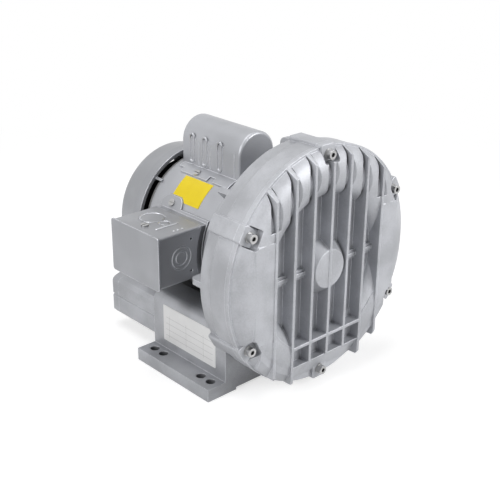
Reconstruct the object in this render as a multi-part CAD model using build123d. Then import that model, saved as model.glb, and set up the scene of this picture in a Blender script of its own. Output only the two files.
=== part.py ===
from build123d import *
import os
from math import asin, cos, degrees, radians, sin, sqrt

os.makedirs("parts", exist_ok=True)

# Side channel blower. Millimetres, +Z up, shaft along Y, impeller cover towards -Y, motor towards +Y.
# The origin is the centre of the foot hole pattern, on the mounting plane.

# ---------------------------------------------------------------- driving dimensions
shaft_height = 125.0
cover_rim_r = 115.0

# clearances
running_gap = 0.4
seat_gap = 0.1
bolt_play = 0.3
thread_fit = 0.02
bearing_play = 0.02

# impeller
impeller_inset = 13.5
impeller_r = cover_rim_r - impeller_inset
impeller_width = 18.0
blade_count = 32
blade_t = 2.0
blade_depth_r = 26.5
blade_root_r = impeller_r - blade_depth_r
impeller_web_t = 8.0
impeller_divider_t = 2.6
impeller_hub_r = 20.0
impeller_ring_t = 0.6
key_size = 5.0

# side channel
channel_inset = 27.0
channel_r = cover_rim_r - channel_inset
channel_half_width = 13.0
channel_depth = 10.0
channel_wall = 3.2

# impeller cover
parting_y = -91.0
cover_flange_t = 5.0
cover_floor_t = 3.5
bulge_half_width = 23.0
bulge_r = cover_rim_r - bulge_half_width - 1.2
band_drop = 0.9
finger_low = 30.0
bulge_height = 15.6
fin_height = 16.5
fin_count = 7
fin_pitch = 23.0
fin_front_t = 2.6
fin_root_t = 4.2
fin_top_r = cover_rim_r - 7.7
fin_tip_r = cover_rim_r - 0.5
short_fin_drop = cover_rim_r - 27.0
ramp_drop = cover_rim_r - 7.0
cross_rib_drop = cover_rim_r - 47.0
cross_rib_t = 3.0
gusset_height = 4.6
gusset_t = 9.0
gusset_ridge_t = 3.6
hub_front_r = 18.5
hub_root_r = 27.0
hub_pocket_r = 14.5
hub_drop = 0.7

# cover bolts
bolt_circle_r = cover_rim_r - 7.0
cover_bolt_count = 6
cover_bolt_r = 2.5
cover_bolt_length = 20.0
head_r = 4.25
head_h = 5.0
hex_r = 2.3
washer_r = 4.9
washer_t = 0.9
boss_height = 7.6
boss_width = 17.0
boss_reach = 9.0

# housing
housing_r = cover_rim_r - 0.4
housing_step_y = -71.0
housing_step = 0.8
housing_rim_y = -56.0
housing_rim_r = housing_r - 2.6
housing_web_t = 5.2
lug_length = 15.0
lug_depth = 15.0
lug_t = 5.5
lug_angles = (0, 45, 90, 135, 180)
window_half_x = 12.5
window_x = 45.5
window_height = 18.0
window_z = shaft_height - 73.0

# base
base_half_width = 80.8
base_top_z = shaft_height - 55.0
base_front_y = -54.0
base_back_y = 55.0
base_edge_r = 10.0
foot_half_width = 102.5
foot_t = 13.0
foot_hole_x = 90.0
foot_hole_r = 4.75
outer_hole_y = 43.0
inner_hole_y = 29.0
belly_clearance = 3.0
sole_wall = 13.8
sole_relief = 2.5
tunnel_floor_z = 14.0
tunnel_wall = 6.0

# muffler box
muffler_half_width = 75.6
muffler_back_y = 124.0
muffler_bottom_z = 15.0
muffler_top_z = shaft_height - 68.0
muffler_wall = 4.0
muffler_groove_z = shaft_height - 88.0
muffler_groove_w = 3.0
end_plate_t = 10.0
port_x = 38.0
port_z = (muffler_bottom_z + muffler_top_z) / 2
port_r = 15.5
foam_t = 8.0

# motor
shell_r = 66.0
shell_t = 2.0
shell_front_y = -9.0
shell_back_y = 81.0
bell_r = 70.0
bell_wall = 5.0
stator_bore_r = 36.0
stack_front_y = 10.0
stack_length = 46.0
slot_count = 24
slot_root_r = 39.0
slot_depth = 13.0
slot_half_w = 2.4
slot_mouth = 1.0
slot_liner = 0.2
end_turn = 14.0
end_turn_bulge = 4.0
air_gap = 0.4
end_ring_length = 9.0
vane_length = 6.0
end_ring_inner_r = 24.0
through_bolt_r = 2.5
through_bolt_circle_r = 60.5

# shaft and bearings
shaft_r = 11.0
seal_r = 8.5
impeller_seat_r = 7.5
thread_r = 6.0
front_bearing = dict(bore=8.5, outer=20.0, width=12.0, ball=3.4, balls=8)
rear_bearing = dict(bore=7.5, outer=17.5, width=11.0, ball=3.0, balls=8)
front_bearing_y = -46.0
rear_bearing_y = 86.0
seal_outer_r = 15.0
seal_width = 7.0
wave_t = 1.5
wave_outer_r = 17.0
wave_inner_r = 13.0
shim_r = 11.0

# fan and cowl
fan_r = 56.0
fan_length = 16.0
fan_blades = 9
fan_blade_t = 2.0
fan_hub_r = 15.0
cowl_lip_y = 88.0
cowl_lip_r = 71.6
cowl_lip_inner_r = 67.8
cowl_back_r = 67.0
cowl_back_y = 128.0
cowl_t = 1.8
cowl_round = 9.0
cowl_skirt = 11.0
cowl_tab_w = 2.6
cowl_lug_w = 11.0

# capacitor and its cover
cap_cover_half_width = 22.5
cap_cover_front_y = -8.0
cap_cover_length = 86.0
cap_cover_top = 108.0
cap_cover_t = 1.2
capacitor_r = 18.25
capacitor_length = 70.0
bead_length = 31.0
bead_w = 8.4
bead_line_w = 2.2
bead_rise = 1.0
crease_w = 0.9
crease_depth = 0.45

# conduit box
box_outer_x = -120.0
box_front_y = -8.0
box_length = 70.0
box_bottom = -20.0
box_top = 31.0
box_t = 1.8
box_lid_t = 1.5
box_lid_lap = 1.0
saddle_t = 2.0
box_seat_r = 76.0
seat_frame_inset = 1.6
seat_frame_w = 4.0
knockout_r = 11.1
knockout_inner_r = 6.5
knockout_groove = 1.0
knockout_depth = 0.7
top_knockout_r = 12.0
top_small_r = 5.0
pilot_hole_r = 1.2
pilot_hole_gap = 16.0
lead_hole_r = 9.0
stud_r = 2.0
saddle_tab_w = 30.0
saddle_tab_h = 34.0
saddle_tab_round = 9.0

SHAFT = Axis((0, 0, shaft_height), (0, 1, 0))


# ---------------------------------------------------------------- helpers
def front_plane(y):
    """Plane square to the shaft at y: local X is X, local Y is Z, and an extrusion grows forward."""
    return Plane(origin=(0, y, shaft_height), x_dir=(1, 0, 0), z_dir=(0, -1, 0))


def turned(*corners):
    """Solid of revolution about the shaft from the (y, radius) corners of half its section."""
    points = [(0, y, shaft_height + r) for y, r in corners]
    return revolve(make_face(Polyline(*points, close=True)), SHAFT)


def ring(r_outer, r_inner, y_front, y_back):
    """Ring about the shaft."""
    return turned((y_front, r_inner), (y_front, r_outer), (y_back, r_outer), (y_back, r_inner))


def rod(r, y_front, y_back, x=0, z=0):
    """Cylinder along the shaft direction, its centre at x and z from the shaft."""
    return extrude(front_plane(y_back) * Pos(x, z) * Circle(r), amount=y_back - y_front)


def block(x0, x1, y0, y1, z0, z1):
    """Box between two corners, z above the mounting plane."""
    size = Box(x1 - x0, y1 - y0, z1 - z0)
    return Pos((x0 + x1) / 2, (y0 + y1) / 2, (z0 + z1) / 2) * size


def polar(r, angle):
    """Position across the shaft of a radius and an angle seen from the cover."""
    return r * cos(radians(angle)), r * sin(radians(angle))


def spread(count, start=0.0):
    """Evenly spaced angles."""
    return [start + 360.0 * i / count for i in range(count)]


def turn_about_shaft(shape, angle):
    """Copy turned about the shaft, counter-clockwise as seen from the cover."""
    return shape.rotate(SHAFT, -angle)


def group(shapes):
    """Separate solids kept together in one node."""
    return Compound([solid for shape in shapes for solid in shape.solids()])


def ellipse_ring(mean_r, half_width, depth, y, forward=True):
    """Half-elliptical ring about the shaft, standing forward or backward of the plane at y."""
    section = Plane.YZ * Pos(y, shaft_height + mean_r) * Ellipse(depth, half_width)
    side = 1 if forward else -1
    spare = 2 * depth
    section -= Plane.YZ * Pos(y + side * spare / 2, shaft_height + mean_r) * Rectangle(spare, 3 * half_width)
    return revolve(section, SHAFT)


def socket_screw(r, head_r, head_h, length, hex_r):
    """Socket head screw along +Z, its head standing on z = 0."""
    screw = extrude(Circle(head_r), amount=head_h) + extrude(Circle(r), amount=-length)
    socket = Pos(0, 0, head_h) * extrude(RegularPolygon(hex_r, 6), amount=-head_h / 2)
    return screw - socket


def pan_screw(r, head_r, head_h, length):
    """Slotted pan head screw along +Z, its head standing on z = 0."""
    screw = extrude(Circle(head_r), amount=head_h) + extrude(Circle(r), amount=-length)
    slot = Pos(0, 0, head_h) * Box(2 * head_r, head_r / 4, head_h)
    return screw - slot


def facing_front(shape, x, y, z):
    """Place a +Z piece so that it faces the cover side, x and z measured from the shaft."""
    return Plane(origin=(x, y, shaft_height + z), x_dir=(1, 0, 0), z_dir=(0, -1, 0)) * shape


def facing_back(shape, x, y, z):
    """Place a +Z piece so that it faces the motor's rear, x and z measured from the shaft."""
    return Plane(origin=(x, y, shaft_height + z), x_dir=(-1, 0, 0), z_dir=(0, 1, 0)) * shape


def facing_out(shape, angle, r, y):
    """Place a +Z piece on a radius about the shaft, pointing outwards."""
    x, z = polar(r, angle)
    dx, dz = polar(1, angle)
    return Plane(origin=(x, y, shaft_height + z), x_dir=(0, 1, 0), z_dir=(dx, 0, dz)) * shape


# ---------------------------------------------------------------- derived sizes
fin_front_y = parting_y - fin_height
cover_floor_y = parting_y - cover_floor_t
flange_front_y = parting_y - cover_flange_t
boss_front_y = parting_y - boss_height
fin_xs = [(i - (fin_count - 1) / 2) * fin_pitch for i in range(fin_count)]
stripper_half = 2 * fin_pitch
cover_bolt_angles = spread(cover_bolt_count, 30.0)
bolt_clear_r = cover_bolt_r + bolt_play
band_outer_x = bolt_circle_r * cos(radians(30.0))
band_top = bolt_circle_r * sin(radians(30.0)) - boss_reach
impeller_front_y = parting_y + running_gap
impeller_back_y = impeller_front_y + impeller_width
impeller_mid_y = (impeller_front_y + impeller_back_y) / 2
chamber_back_y = impeller_back_y + running_gap
web_back_y = chamber_back_y + housing_web_t
chamber_r = impeller_r + running_gap
bell_front_y = web_back_y
pilot_r = 24.0
bell_plate_t = 6.0
shell_inner_r = shell_r - shell_t
stack_back_y = stack_front_y + stack_length
front_bearing_back_y = front_bearing_y + front_bearing["width"]
rear_bearing_back_y = rear_bearing_y + rear_bearing["width"]
cap_cover_back_y = cap_cover_front_y + cap_cover_length
cap_cover_arc_z = cap_cover_top - cap_cover_half_width
box_back_y = box_front_y + box_length
box_mid_y = box_front_y + box_length / 2
box_mid = (box_top + box_bottom) / 2
motor_screw_circle_r = 50.0
motor_screw_angles = spread(4, 45.0)
base_screw_r = 2.5
base_screw_length = 16.0
base_screw_circle_r = cover_rim_r - 9.0
base_screw_angles = (-129.7, -101.2, -78.8, -50.3)
base_end_wall = 8.0
tunnel_roof_t = 8.0
muffler_grip = 12.0
gasket_t = 1.5
muffler_screw_r = 2.5
muffler_boss_r = 5.0
muffler_screw_x = muffler_half_width - 7.6
muffler_screw_low = muffler_bottom_z + 7.0 - shaft_height
muffler_screw_high = muffler_top_z - 7.0 - shaft_height
muffler_screw_places = [(0, muffler_screw_low)] + [
    (x, z) for x in (-muffler_screw_x, muffler_screw_x) for z in (muffler_screw_low, muffler_screw_high)
]
impeller_hub_front_y = impeller_front_y + 4.0
shim_front_y = impeller_back_y
shim_back_y = chamber_back_y
nut_back_y = impeller_hub_front_y - 2.0
nut_h = 12.0
thread_front_y = nut_back_y - nut_h - 0.5
seal_front_y = bell_front_y + 1.0
through_bolt_angles = spread(4, 0.0)
bolt_head_y = shell_back_y + 7.5
fan_seat_r = 7.0
fan_front_y = rear_bearing_back_y + 6.0
fan_back_y = fan_front_y + fan_length
clip_depth = 0.6
clip_t = 1.0
cowl_tab_angles = spread(4, 45.0)
cowl_tab_front_y = shell_back_y - 2.0
cowl_screw_angles = (75.0, 195.0, 285.0)
cowl_screw_y = cowl_lip_y + cowl_skirt / 2 + 0.5
cowl_lug_r = cowl_lip_r - cowl_t - seat_gap
small_screw_r = 2.0
small_hole_r = small_screw_r + bolt_play
small_head_r = 3.7
small_head_h = 1.5
cap_screw_angle = 27.0
cap_foot_angle = 31.0
cap_foot_t = 1.4
cap_screw_y = 45.0
bead_ys = (21.0, 43.0, 62.0)
crease_ys = (0.0, 35.0, 51.5)
notch_ys = (23.0, 71.0)
saddle_r = shell_r + saddle_t
small_thread_r = small_screw_r + thread_fit
saddle_screw_places = [(50.0, 34.0), (box_mid_y + 22.0, -10.0), (box_mid_y - 22.0, 14.0)]
lid_screw_x = box_outer_x + 11.0
knockout_x = box_outer_x + 25.5
ground_angle = 180 - degrees(asin((box_mid - 12) / box_seat_r))


# ---------------------------------------------------------------- impeller cover
def fin(x):
    """One drafted vertical fin, from the floor to the front, not yet trimmed at its ends."""
    half_root = fin_root_t / 2
    half_front = fin_front_t / 2
    outline = Polyline(
        (x - half_root, parting_y - 1, 0),
        (x - half_front, fin_front_y, 0),
        (x + half_front, fin_front_y, 0),
        (x + half_root, parting_y - 1, 0),
        close=True,
    )
    face = make_face(outline)
    top = extrude(Pos(0, 0, shaft_height - cover_rim_r) * face, amount=2 * cover_rim_r)
    return top


def fins():
    """Seven fins: sloped at the top, rounded tabs at the bottom of the outer two pairs."""
    top_limit = turned(
        (parting_y, 0),
        (parting_y, cover_rim_r - 1),
        (flange_front_y, cover_rim_r - 1.5),
        (fin_front_y, fin_top_r),
        (fin_front_y, 0),
    )
    low_limit = turned(
        (parting_y, 0),
        (parting_y, fin_tip_r),
        (fin_front_y + 2, fin_tip_r),
        (fin_front_y, fin_tip_r - 2),
        (fin_front_y, 0),
    )
    slope = fin_height - cover_flange_t
    short_low = shaft_height - short_fin_drop
    half = cover_rim_r
    upper = block(-half, half, fin_front_y, parting_y, shaft_height, shaft_height + half) & top_limit
    lower = block(-half, half, fin_front_y, parting_y, shaft_height - half, shaft_height) & low_limit
    middle_gap = Polyline(
        (0, fin_front_y - 1, short_low),
        (0, flange_front_y, short_low - slope / 2),
        (0, flange_front_y, shaft_height - half - 1),
        (0, fin_front_y - 1, shaft_height - half - 1),
        close=True,
    )
    short_half = stripper_half - fin_root_t
    lower -= Pos(-short_half, 0, 0) * extrude(make_face(middle_gap), amount=2 * short_half, dir=(1, 0, 0))
    limit = upper + lower
    rows = Part() + [fin(x) for x in fin_xs]
    return rows & limit


def finger_grooves():
    """Cutters beside the fins that part the top of the channel bulge into rounded fingers."""
    steps = [(parting_y, 1.4), (fin_front_y + 5.0, 2.2), (fin_front_y + 2.6, 4.2), (fin_front_y - 1, 8.5)]
    cutters = []
    for x in fin_xs:
        left = [(x - fin_front_t / 2 - gap, y, 0) for y, gap in steps]
        right = [(x + fin_front_t / 2 + gap, y, 0) for y, gap in reversed(steps)]
        face = make_face(Polyline(*left, *right, close=True))
        low = band_top + boss_reach if abs(x) > stripper_half + 1 else finger_low
        cutters.append(extrude(Pos(0, 0, shaft_height + low) * face, amount=cover_rim_r - low))
    return Part() + cutters


def side_bands():
    """Flat bands between the outer fins and the cover screws, level with the fins."""
    inner = fin_xs[-1]
    low = shaft_height - band_top - 4
    front = fin_front_y + band_drop
    bands = []
    for x0, x1 in ((inner, band_outer_x), (-band_outer_x, -inner)):
        band = block(x0, x1, front, parting_y, low, shaft_height + band_top)
        outer_edges = band.edges().group_by(Axis.Y)[0].filter_by(Axis.Z)
        bands.append(fillet(outer_edges, 1.5))
    return bands


def bottom_ramp():
    """Solid ramp between the lower ends of the short fins and the rim."""
    outline = Polyline(
        (0, parting_y, shaft_height - short_fin_drop),
        (0, fin_front_y + band_drop, shaft_height - short_fin_drop),
        (0, flange_front_y, shaft_height - ramp_drop),
        (0, parting_y, shaft_height - ramp_drop),
        close=True,
    )
    half = stripper_half
    ramp = Pos(-half, 0, 0) * extrude(make_face(outline), amount=2 * half, dir=(1, 0, 0))
    return ramp & rod(cover_rim_r - 1.0, fin_front_y, parting_y)


def channel_bulge():
    """The side channel seen from outside, with rounded fingers between the fins."""
    outer = ellipse_ring(bulge_r, bulge_half_width, bulge_height, parting_y)
    wall = channel_half_width + channel_wall
    shell = ellipse_ring(channel_r, wall, channel_depth + channel_wall, parting_y)
    shoulder = turned(
        (parting_y, 80),
        (parting_y, cover_rim_r - 1.5),
        (parting_y - 9, cover_rim_r - 1.5),
        (parting_y - 14, 106),
        (parting_y - 14.5, 95),
        (parting_y - 14.5, 80),
    )
    low = shaft_height - cover_rim_r
    shoulder &= block(-84, 84, fin_front_y, parting_y, low, shaft_height - 45)
    bulge = (outer + shoulder + side_bands() - finger_grooves()) + shell
    stripper = block(-stripper_half, stripper_half, fin_front_y - 1, parting_y + 1, low - 1, shaft_height)
    return bulge - stripper


def cover_boss(angle):
    """Square boss under one cover screw."""
    x0, z0 = polar(bolt_circle_r, angle)
    length = 2 * boss_reach
    shape = Box(length, boss_width, boss_height)
    shape = fillet(shape.edges().filter_by(Axis.Z), 2.0)
    placed = Pos(x0, z0, boss_height / 2) * Rot(0, 0, angle) * shape
    return front_plane(parting_y) * placed


def impeller_cover():
    """Finned cover with the front half of the side channel."""
    body = ring(cover_rim_r, bulge_r, flange_front_y, parting_y)
    body += turned((parting_y, 0), (parting_y, bulge_r), (cover_floor_y, bulge_r), (cover_floor_y, 0))
    body += ellipse_ring(bulge_r, bulge_half_width, 1.2 * cover_flange_t, parting_y)
    body += channel_bulge()
    body -= boss_pockets()
    body += [cover_boss(angle) for angle in cover_bolt_angles]
    body += bottom_ramp()
    body += fins()
    body += cover_hub()
    rib_z = shaft_height - cross_rib_drop
    half_t = cross_rib_t / 2
    body += block(-stripper_half, stripper_half, fin_front_y, parting_y, rib_z - half_t, rib_z + half_t)
    body += gussets()
    body -= cover_channel()
    body -= rod(hub_pocket_r, fin_front_y + 4.7, parting_y + 1)
    seat = boss_front_y - fin_height
    for angle in cover_bolt_angles:
        x, z = polar(bolt_circle_r, angle)
        body -= rod(washer_r + 0.8, seat, boss_front_y, x, z)
        body -= rod(bolt_clear_r, seat, parting_y + 1, x, z)
    return body


def boss_pockets():
    """Cuts in the bulge that leave every cover boss standing clear."""
    inner = channel_r + channel_half_width - 0.5
    outer = bolt_circle_r + boss_reach + 3
    pocket = Box(outer - inner, boss_width + 2, fin_height)
    pocket = fillet(pocket.edges().filter_by(Axis.Z), 2.5)
    floor = front_plane(flange_front_y - 1.2)
    cuts = []
    for angle in cover_bolt_angles:
        x, z = polar((inner + outer) / 2, angle)
        cuts.append(floor * Pos(x, z, fin_height / 2) * Rot(0, 0, angle) * pocket)
    return cuts


def cover_hub():
    """Truncated cone at the middle, its front just below the fins."""
    front = fin_front_y + hub_drop
    cone = turned(
        (parting_y, 0), (parting_y, hub_root_r), (cover_floor_y - 1, hub_root_r),
        (front, hub_front_r), (front, 0),
    )
    low = shaft_height - hub_root_r
    return cone & block(-fin_pitch, fin_pitch, front, parting_y, low, shaft_height + hub_root_r)


def gussets():
    """Short stepped cross webs at mid height between the outer fins."""
    low = shaft_height - gusset_t / 2
    middle = shaft_height + 0.5
    front = cover_floor_y - gusset_height
    ledge = cover_floor_y - 0.6 * gusset_height
    ridge = gusset_ridge_t / 2
    outline = Polyline(
        (0, parting_y - 1, low),
        (0, ledge, low),
        (0, ledge, middle - ridge),
        (0, front, middle - ridge),
        (0, front, middle + ridge),
        (0, ledge, middle + ridge),
        (0, ledge, low + gusset_t),
        (0, parting_y - 1, low + gusset_t),
        close=True,
    )
    face = make_face(outline)
    webs = []
    for left, right in ((0, 1), (1, 2), (4, 5), (5, 6)):
        span = fin_xs[right] - fin_xs[left]
        webs.append(Pos(fin_xs[left], 0, 0) * extrude(face, amount=span, dir=(1, 0, 0)))
    return Part() + webs


def cover_channel():
    """Front half of the side channel, stopped short of the stripper at the bottom."""
    channel = ellipse_ring(channel_r, channel_half_width, channel_depth, parting_y)
    keep = stripper_half + fin_root_t
    low = shaft_height - cover_rim_r
    return channel - block(-keep, keep, fin_front_y - 1, parting_y + 1, low, shaft_height)


def cover_screws():
    """Six socket head screws round the cover."""
    screw = socket_screw(cover_bolt_r, head_r, head_h, cover_bolt_length, hex_r)
    seat_y = boss_front_y - washer_t
    return group([facing_front(screw, *at_seat(angle, seat_y)) for angle in cover_bolt_angles])


def at_seat(angle, y):
    """Seat of a cover screw: x, y and height above the shaft."""
    x, z = polar(bolt_circle_r, angle)
    return x, y, z


def cover_washers():
    """A washer under each cover screw."""
    washer = extrude(Circle(washer_r) - Circle(bolt_clear_r), amount=washer_t)
    return group([facing_front(washer, *at_seat(angle, boss_front_y)) for angle in cover_bolt_angles])


# ---------------------------------------------------------------- housing
def housing_pad(angle):
    """Pad on the housing behind a cover boss, with the thread for its screw."""
    length = 2 * boss_reach
    depth = -(parting_y - housing_rim_y) - 2
    shape = Box(length, boss_width, depth)
    shape = fillet(shape.edges().filter_by(Axis.Z), 2.0)
    x0, z0 = polar(bolt_circle_r, angle)
    placed = Pos(x0, z0, -depth / 2) * Rot(0, 0, angle) * shape
    return front_plane(parting_y) * placed


def lug(angle):
    """Thin radial web reaching back from the rear rim, its outer corner rounded."""
    web = Box(lug_t, lug_depth, lug_length + 1)
    corner = web.edges().filter_by(Axis.X).group_by(Axis.Z)[0].sort_by(Axis.Y)[-1]
    web = fillet(corner, 0.4 * lug_length)
    back = Pos(0, housing_rim_r - 0.4 - lug_depth / 2, -(lug_length - 1) / 2) * web
    return front_plane(housing_rim_y) * Rot(0, 0, angle - 90) * back


def blower_housing():
    """Drum-shaped housing with the rear half of the side channel."""
    bulge_out = channel_half_width + 3.0
    body = turned(
        (parting_y, 0),
        (parting_y, housing_r),
        (housing_step_y, housing_r),
        (housing_step_y, housing_r - housing_step),
        (housing_rim_y, housing_rim_r),
        (housing_rim_y, channel_r + bulge_out),
        (housing_rim_y, channel_r - bulge_out + 4),
        (web_back_y, channel_r - bulge_out),
        (web_back_y, 0),
    )
    body += [housing_pad(angle) for angle in cover_bolt_angles]
    body += housing_foot()
    body += [lug(angle) for angle in lug_angles]
    body += [housing_rib(angle) for angle in (0, 60, 120, 180)]
    body -= rod(chamber_r, parting_y, chamber_back_y)
    body -= rear_channel()
    body -= rod(pilot_r + seat_gap, chamber_back_y - 1, web_back_y + 1)
    for angle in cover_bolt_angles:
        x, z = polar(bolt_circle_r, angle)
        body -= rod(cover_bolt_r + thread_fit, parting_y - 1, parting_y + cover_bolt_length, x, z)
    body -= windows(chamber_back_y + 3, base_front_y + 1)
    for angle in motor_screw_angles:
        x, z = polar(motor_screw_circle_r, angle)
        body -= facing_front(motor_screw(0.25, 30), x, chamber_back_y, z)
    for angle in base_screw_angles:
        x, z = polar(base_screw_circle_r, angle)
        body -= rod(base_screw_r + thread_fit, base_front_y - 9, base_front_y + 1, x, z)
    return body


def windows(y0, y1):
    """Two air openings between the side channel and the base passages."""
    low = window_z - window_height / 2
    boxes = []
    for x in (-window_x, window_x):
        boxes.append(block(x - window_half_x, x + window_half_x, y0, y1, low, low + window_height))
    return (Part() + boxes) - rod(bell_r + belly_clearance + tunnel_wall, y0 - 1, y1 + 1)


def housing_foot():
    """Flat pad on the rear of the housing that the base is bolted to."""
    half = base_half_width - 3
    pad = block(-half, half, housing_rim_y - 1, base_front_y, foot_t, base_top_z - 2)
    pad &= rod(housing_rim_r - 0.5, housing_rim_y - 1, base_front_y)
    return pad - rod(bell_r + 1.0, housing_rim_y - 2, base_front_y + 1)


def rear_channel():
    """Rear half of the side channel, stopped short of the stripper at the bottom."""
    channel = ellipse_ring(channel_r, channel_half_width, channel_depth, chamber_back_y, forward=False)
    keep = window_x - window_half_x - 2
    low = shaft_height - cover_rim_r
    return channel - block(-keep, keep, chamber_back_y - 1, housing_rim_y, low, shaft_height)


def housing_rib(angle):
    """Radial rib between the motor end bell and the rear bulge."""
    inner = bell_r + 1.0
    outer = channel_r
    rib = Pos((inner + outer) / 2, 0, 0) * Box(outer - inner, 5.0, housing_rim_y - web_back_y)
    placed = front_plane((housing_rim_y + web_back_y) / 2) * Rot(0, 0, angle) * rib
    return placed


# ---------------------------------------------------------------- motor mounting screws
def motor_screw(extra=0.0, length=14.0):
    """Countersunk screw along +Z; its flat head ends flush with z = 0."""
    r = 3.0 + extra
    head = 6.0 + extra
    cone = Pos(0, 0, -1.6) * Cone(r, head, 3.2)
    return cone + Pos(0, 0, -3.2) * extrude(Circle(r), amount=-length)


def motor_mounting_screws():
    """Four countersunk screws through the housing web into the end bell."""
    screw = motor_screw() - Box(12, 1.2, 2.4)
    places = [polar(motor_screw_circle_r, angle) for angle in motor_screw_angles]
    return group([facing_front(screw, x, chamber_back_y, z) for x, z in places])


# ---------------------------------------------------------------- base
def base_outline():
    """Section of the base: two feet, two side walls, a belly hollow under the motor."""
    hollow_r = bell_r + belly_clearance
    hollow_z = base_top_z - shaft_height
    hollow_x = sqrt(hollow_r**2 - hollow_z**2)
    bottom = -shaft_height
    outline = Polyline(
        (-hollow_x, hollow_z),
        (-base_half_width, hollow_z),
        (-base_half_width, bottom + foot_t),
        (-foot_half_width, bottom + foot_t),
        (-foot_half_width, bottom),
        (foot_half_width, bottom),
        (foot_half_width, bottom + foot_t),
        (base_half_width, bottom + foot_t),
        (base_half_width, hollow_z),
        (hollow_x, hollow_z),
    )
    belly = ThreePointArc((hollow_x, hollow_z), (0, -hollow_r), (-hollow_x, hollow_z))
    return make_face([*outline.edges(), belly])


def tunnels(y0, y1, floor_z, top_z, half_width, wall):
    """Left and right air passages along the base or the muffler box."""
    belly = bell_r + belly_clearance + wall
    passages = []
    for side in (-1, 1):
        inner = side * wall / 2
        outer = side * (half_width - wall)
        x0, x1 = min(inner, outer), max(inner, outer)
        passages.append(block(x0, x1, y0, y1, floor_z, top_z))
    return (Part() + passages) - rod(belly, y0 - 1, y1 + 1)


def base():
    """Cast base with two feet and the two air passages."""
    body = extrude(front_plane(base_back_y) * base_outline(), amount=base_back_y - base_front_y)
    edges = body.edges().filter_by(Axis.Y)
    sharp = [
        e for e in edges
        if abs(abs(e.center().X) - base_half_width) < 0.1 and abs(e.center().Z - base_top_z) < 0.1
    ]
    body = fillet(sharp, base_edge_r)
    start = base_front_y + base_end_wall
    end = base_back_y - base_end_wall
    body -= tunnels(start, end, tunnel_floor_z, base_top_z - tunnel_roof_t, base_half_width, tunnel_wall)
    body -= windows(base_front_y - 1, start + 1)
    body -= muffler_tunnels(end - 1, base_back_y + 1)
    for x, z in muffler_screw_places:
        body += rod(muffler_boss_r, end - muffler_grip, base_back_y, x, z)
        body -= rod(muffler_screw_r + thread_fit, base_back_y - muffler_grip - 1, base_back_y + 1, x, z)
    half = base_half_width - sole_wall
    body -= block(-half, half, base_front_y - 1, base_back_y + 1, -1, sole_relief)
    for x in (-foot_hole_x, foot_hole_x):
        for y in (-outer_hole_y, -inner_hole_y, inner_hole_y, outer_hole_y):
            body -= Pos(x, y, foot_t / 2) * Cylinder(foot_hole_r, foot_t + 2)
    for angle in base_screw_angles:
        x, z = polar(base_screw_circle_r, angle)
        body -= rod(base_screw_r + bolt_play, base_front_y - 1, start + 1, x, z)
    return body


def base_screws():
    """Screws from inside the base passages' corners into the housing."""
    screw = socket_screw(base_screw_r, head_r, head_h, base_screw_length, hex_r)
    seat = base_front_y + base_end_wall
    places = [polar(base_screw_circle_r, angle) for angle in base_screw_angles]
    return group([facing_back(screw, x, seat, z) for x, z in places])


# ---------------------------------------------------------------- muffler box
def muffler_outline():
    """Section of the muffler box: sloped upper ledge, side groove, chamfered lower edge."""
    half = muffler_half_width
    low = muffler_bottom_z - shaft_height
    high = muffler_top_z - shaft_height
    groove = muffler_groove_z - shaft_height
    cut = muffler_groove_w / 2
    right = [
        (half - 4, low),
        (half, low + 4),
        (half, groove - cut),
        (half - cut, groove),
        (half, groove + cut),
        (half, high - 4),
        (half - 3, high),
        (half - 12, high + 3),
    ]
    inner_z = high + 3
    hollow_r = cowl_lip_r + belly_clearance
    hollow_x = sqrt(hollow_r**2 - inner_z**2)
    right.append((hollow_x, inner_z))
    left = [(-x, z) for x, z in reversed(right)]
    outline = Polyline(*left[1:], *right[:-1])
    ends = [Line(left[0], left[1]), Line(right[-2], right[-1])]
    belly = ThreePointArc(right[-1], (0, -hollow_r), left[0])
    return make_face([*outline.edges(), *ends, belly])


def muffler_tunnels(y0, y1, inset=0.0):
    """Left and right muffler chambers."""
    wall = muffler_wall + inset
    low = muffler_bottom_z + wall
    high = muffler_top_z - wall
    belly = cowl_lip_r + belly_clearance + wall
    passages = []
    for side in (-1, 1):
        inner = side * wall / 2
        outer = side * (muffler_half_width - wall)
        passages.append(block(min(inner, outer), max(inner, outer), y0, y1, low, high))
    return (Part() + passages) - rod(belly, y0 - 1, y1 + 1)


def muffler_box():
    """Box behind the base that holds the foam."""
    front = base_back_y + gasket_t
    body = extrude(front_plane(muffler_back_y) * muffler_outline(), amount=muffler_back_y - front)
    body -= muffler_tunnels(front - 1, muffler_back_y + 1)
    for x, z in muffler_screw_places:
        body += rod(muffler_boss_r, front, muffler_back_y, x, z)
        body -= rod(muffler_screw_r + bolt_play, front - 1, muffler_back_y + 1, x, z)
    return body


def muffler_gasket():
    """Sheet gasket between the base and the muffler box."""
    y = base_back_y
    sheet = extrude(front_plane(y + gasket_t) * muffler_outline(), amount=gasket_t)
    sheet -= muffler_tunnels(y - 1, y + gasket_t + 1)
    for x, z in muffler_screw_places:
        sheet += rod(muffler_boss_r, y, y + gasket_t, x, z)
        sheet -= rod(muffler_screw_r + bolt_play, y - 1, y + gasket_t + 1, x, z)
    sheet &= extrude(front_plane(y + gasket_t) * base_outline(), amount=gasket_t)
    return sheet


def muffler_end_plate():
    """Thick end plate with the two threaded ports, inlet and outlet."""
    back = muffler_back_y + end_plate_t
    plate = extrude(front_plane(back) * muffler_outline(), amount=end_plate_t)
    for x in (-port_x, port_x):
        plate -= rod(port_r, muffler_back_y - 1, back + 1, x, port_z - shaft_height)
    for x, z in muffler_screw_places:
        plate -= rod(muffler_screw_r + bolt_play, muffler_back_y - 1, back + 1, x, z)
    return plate


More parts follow.
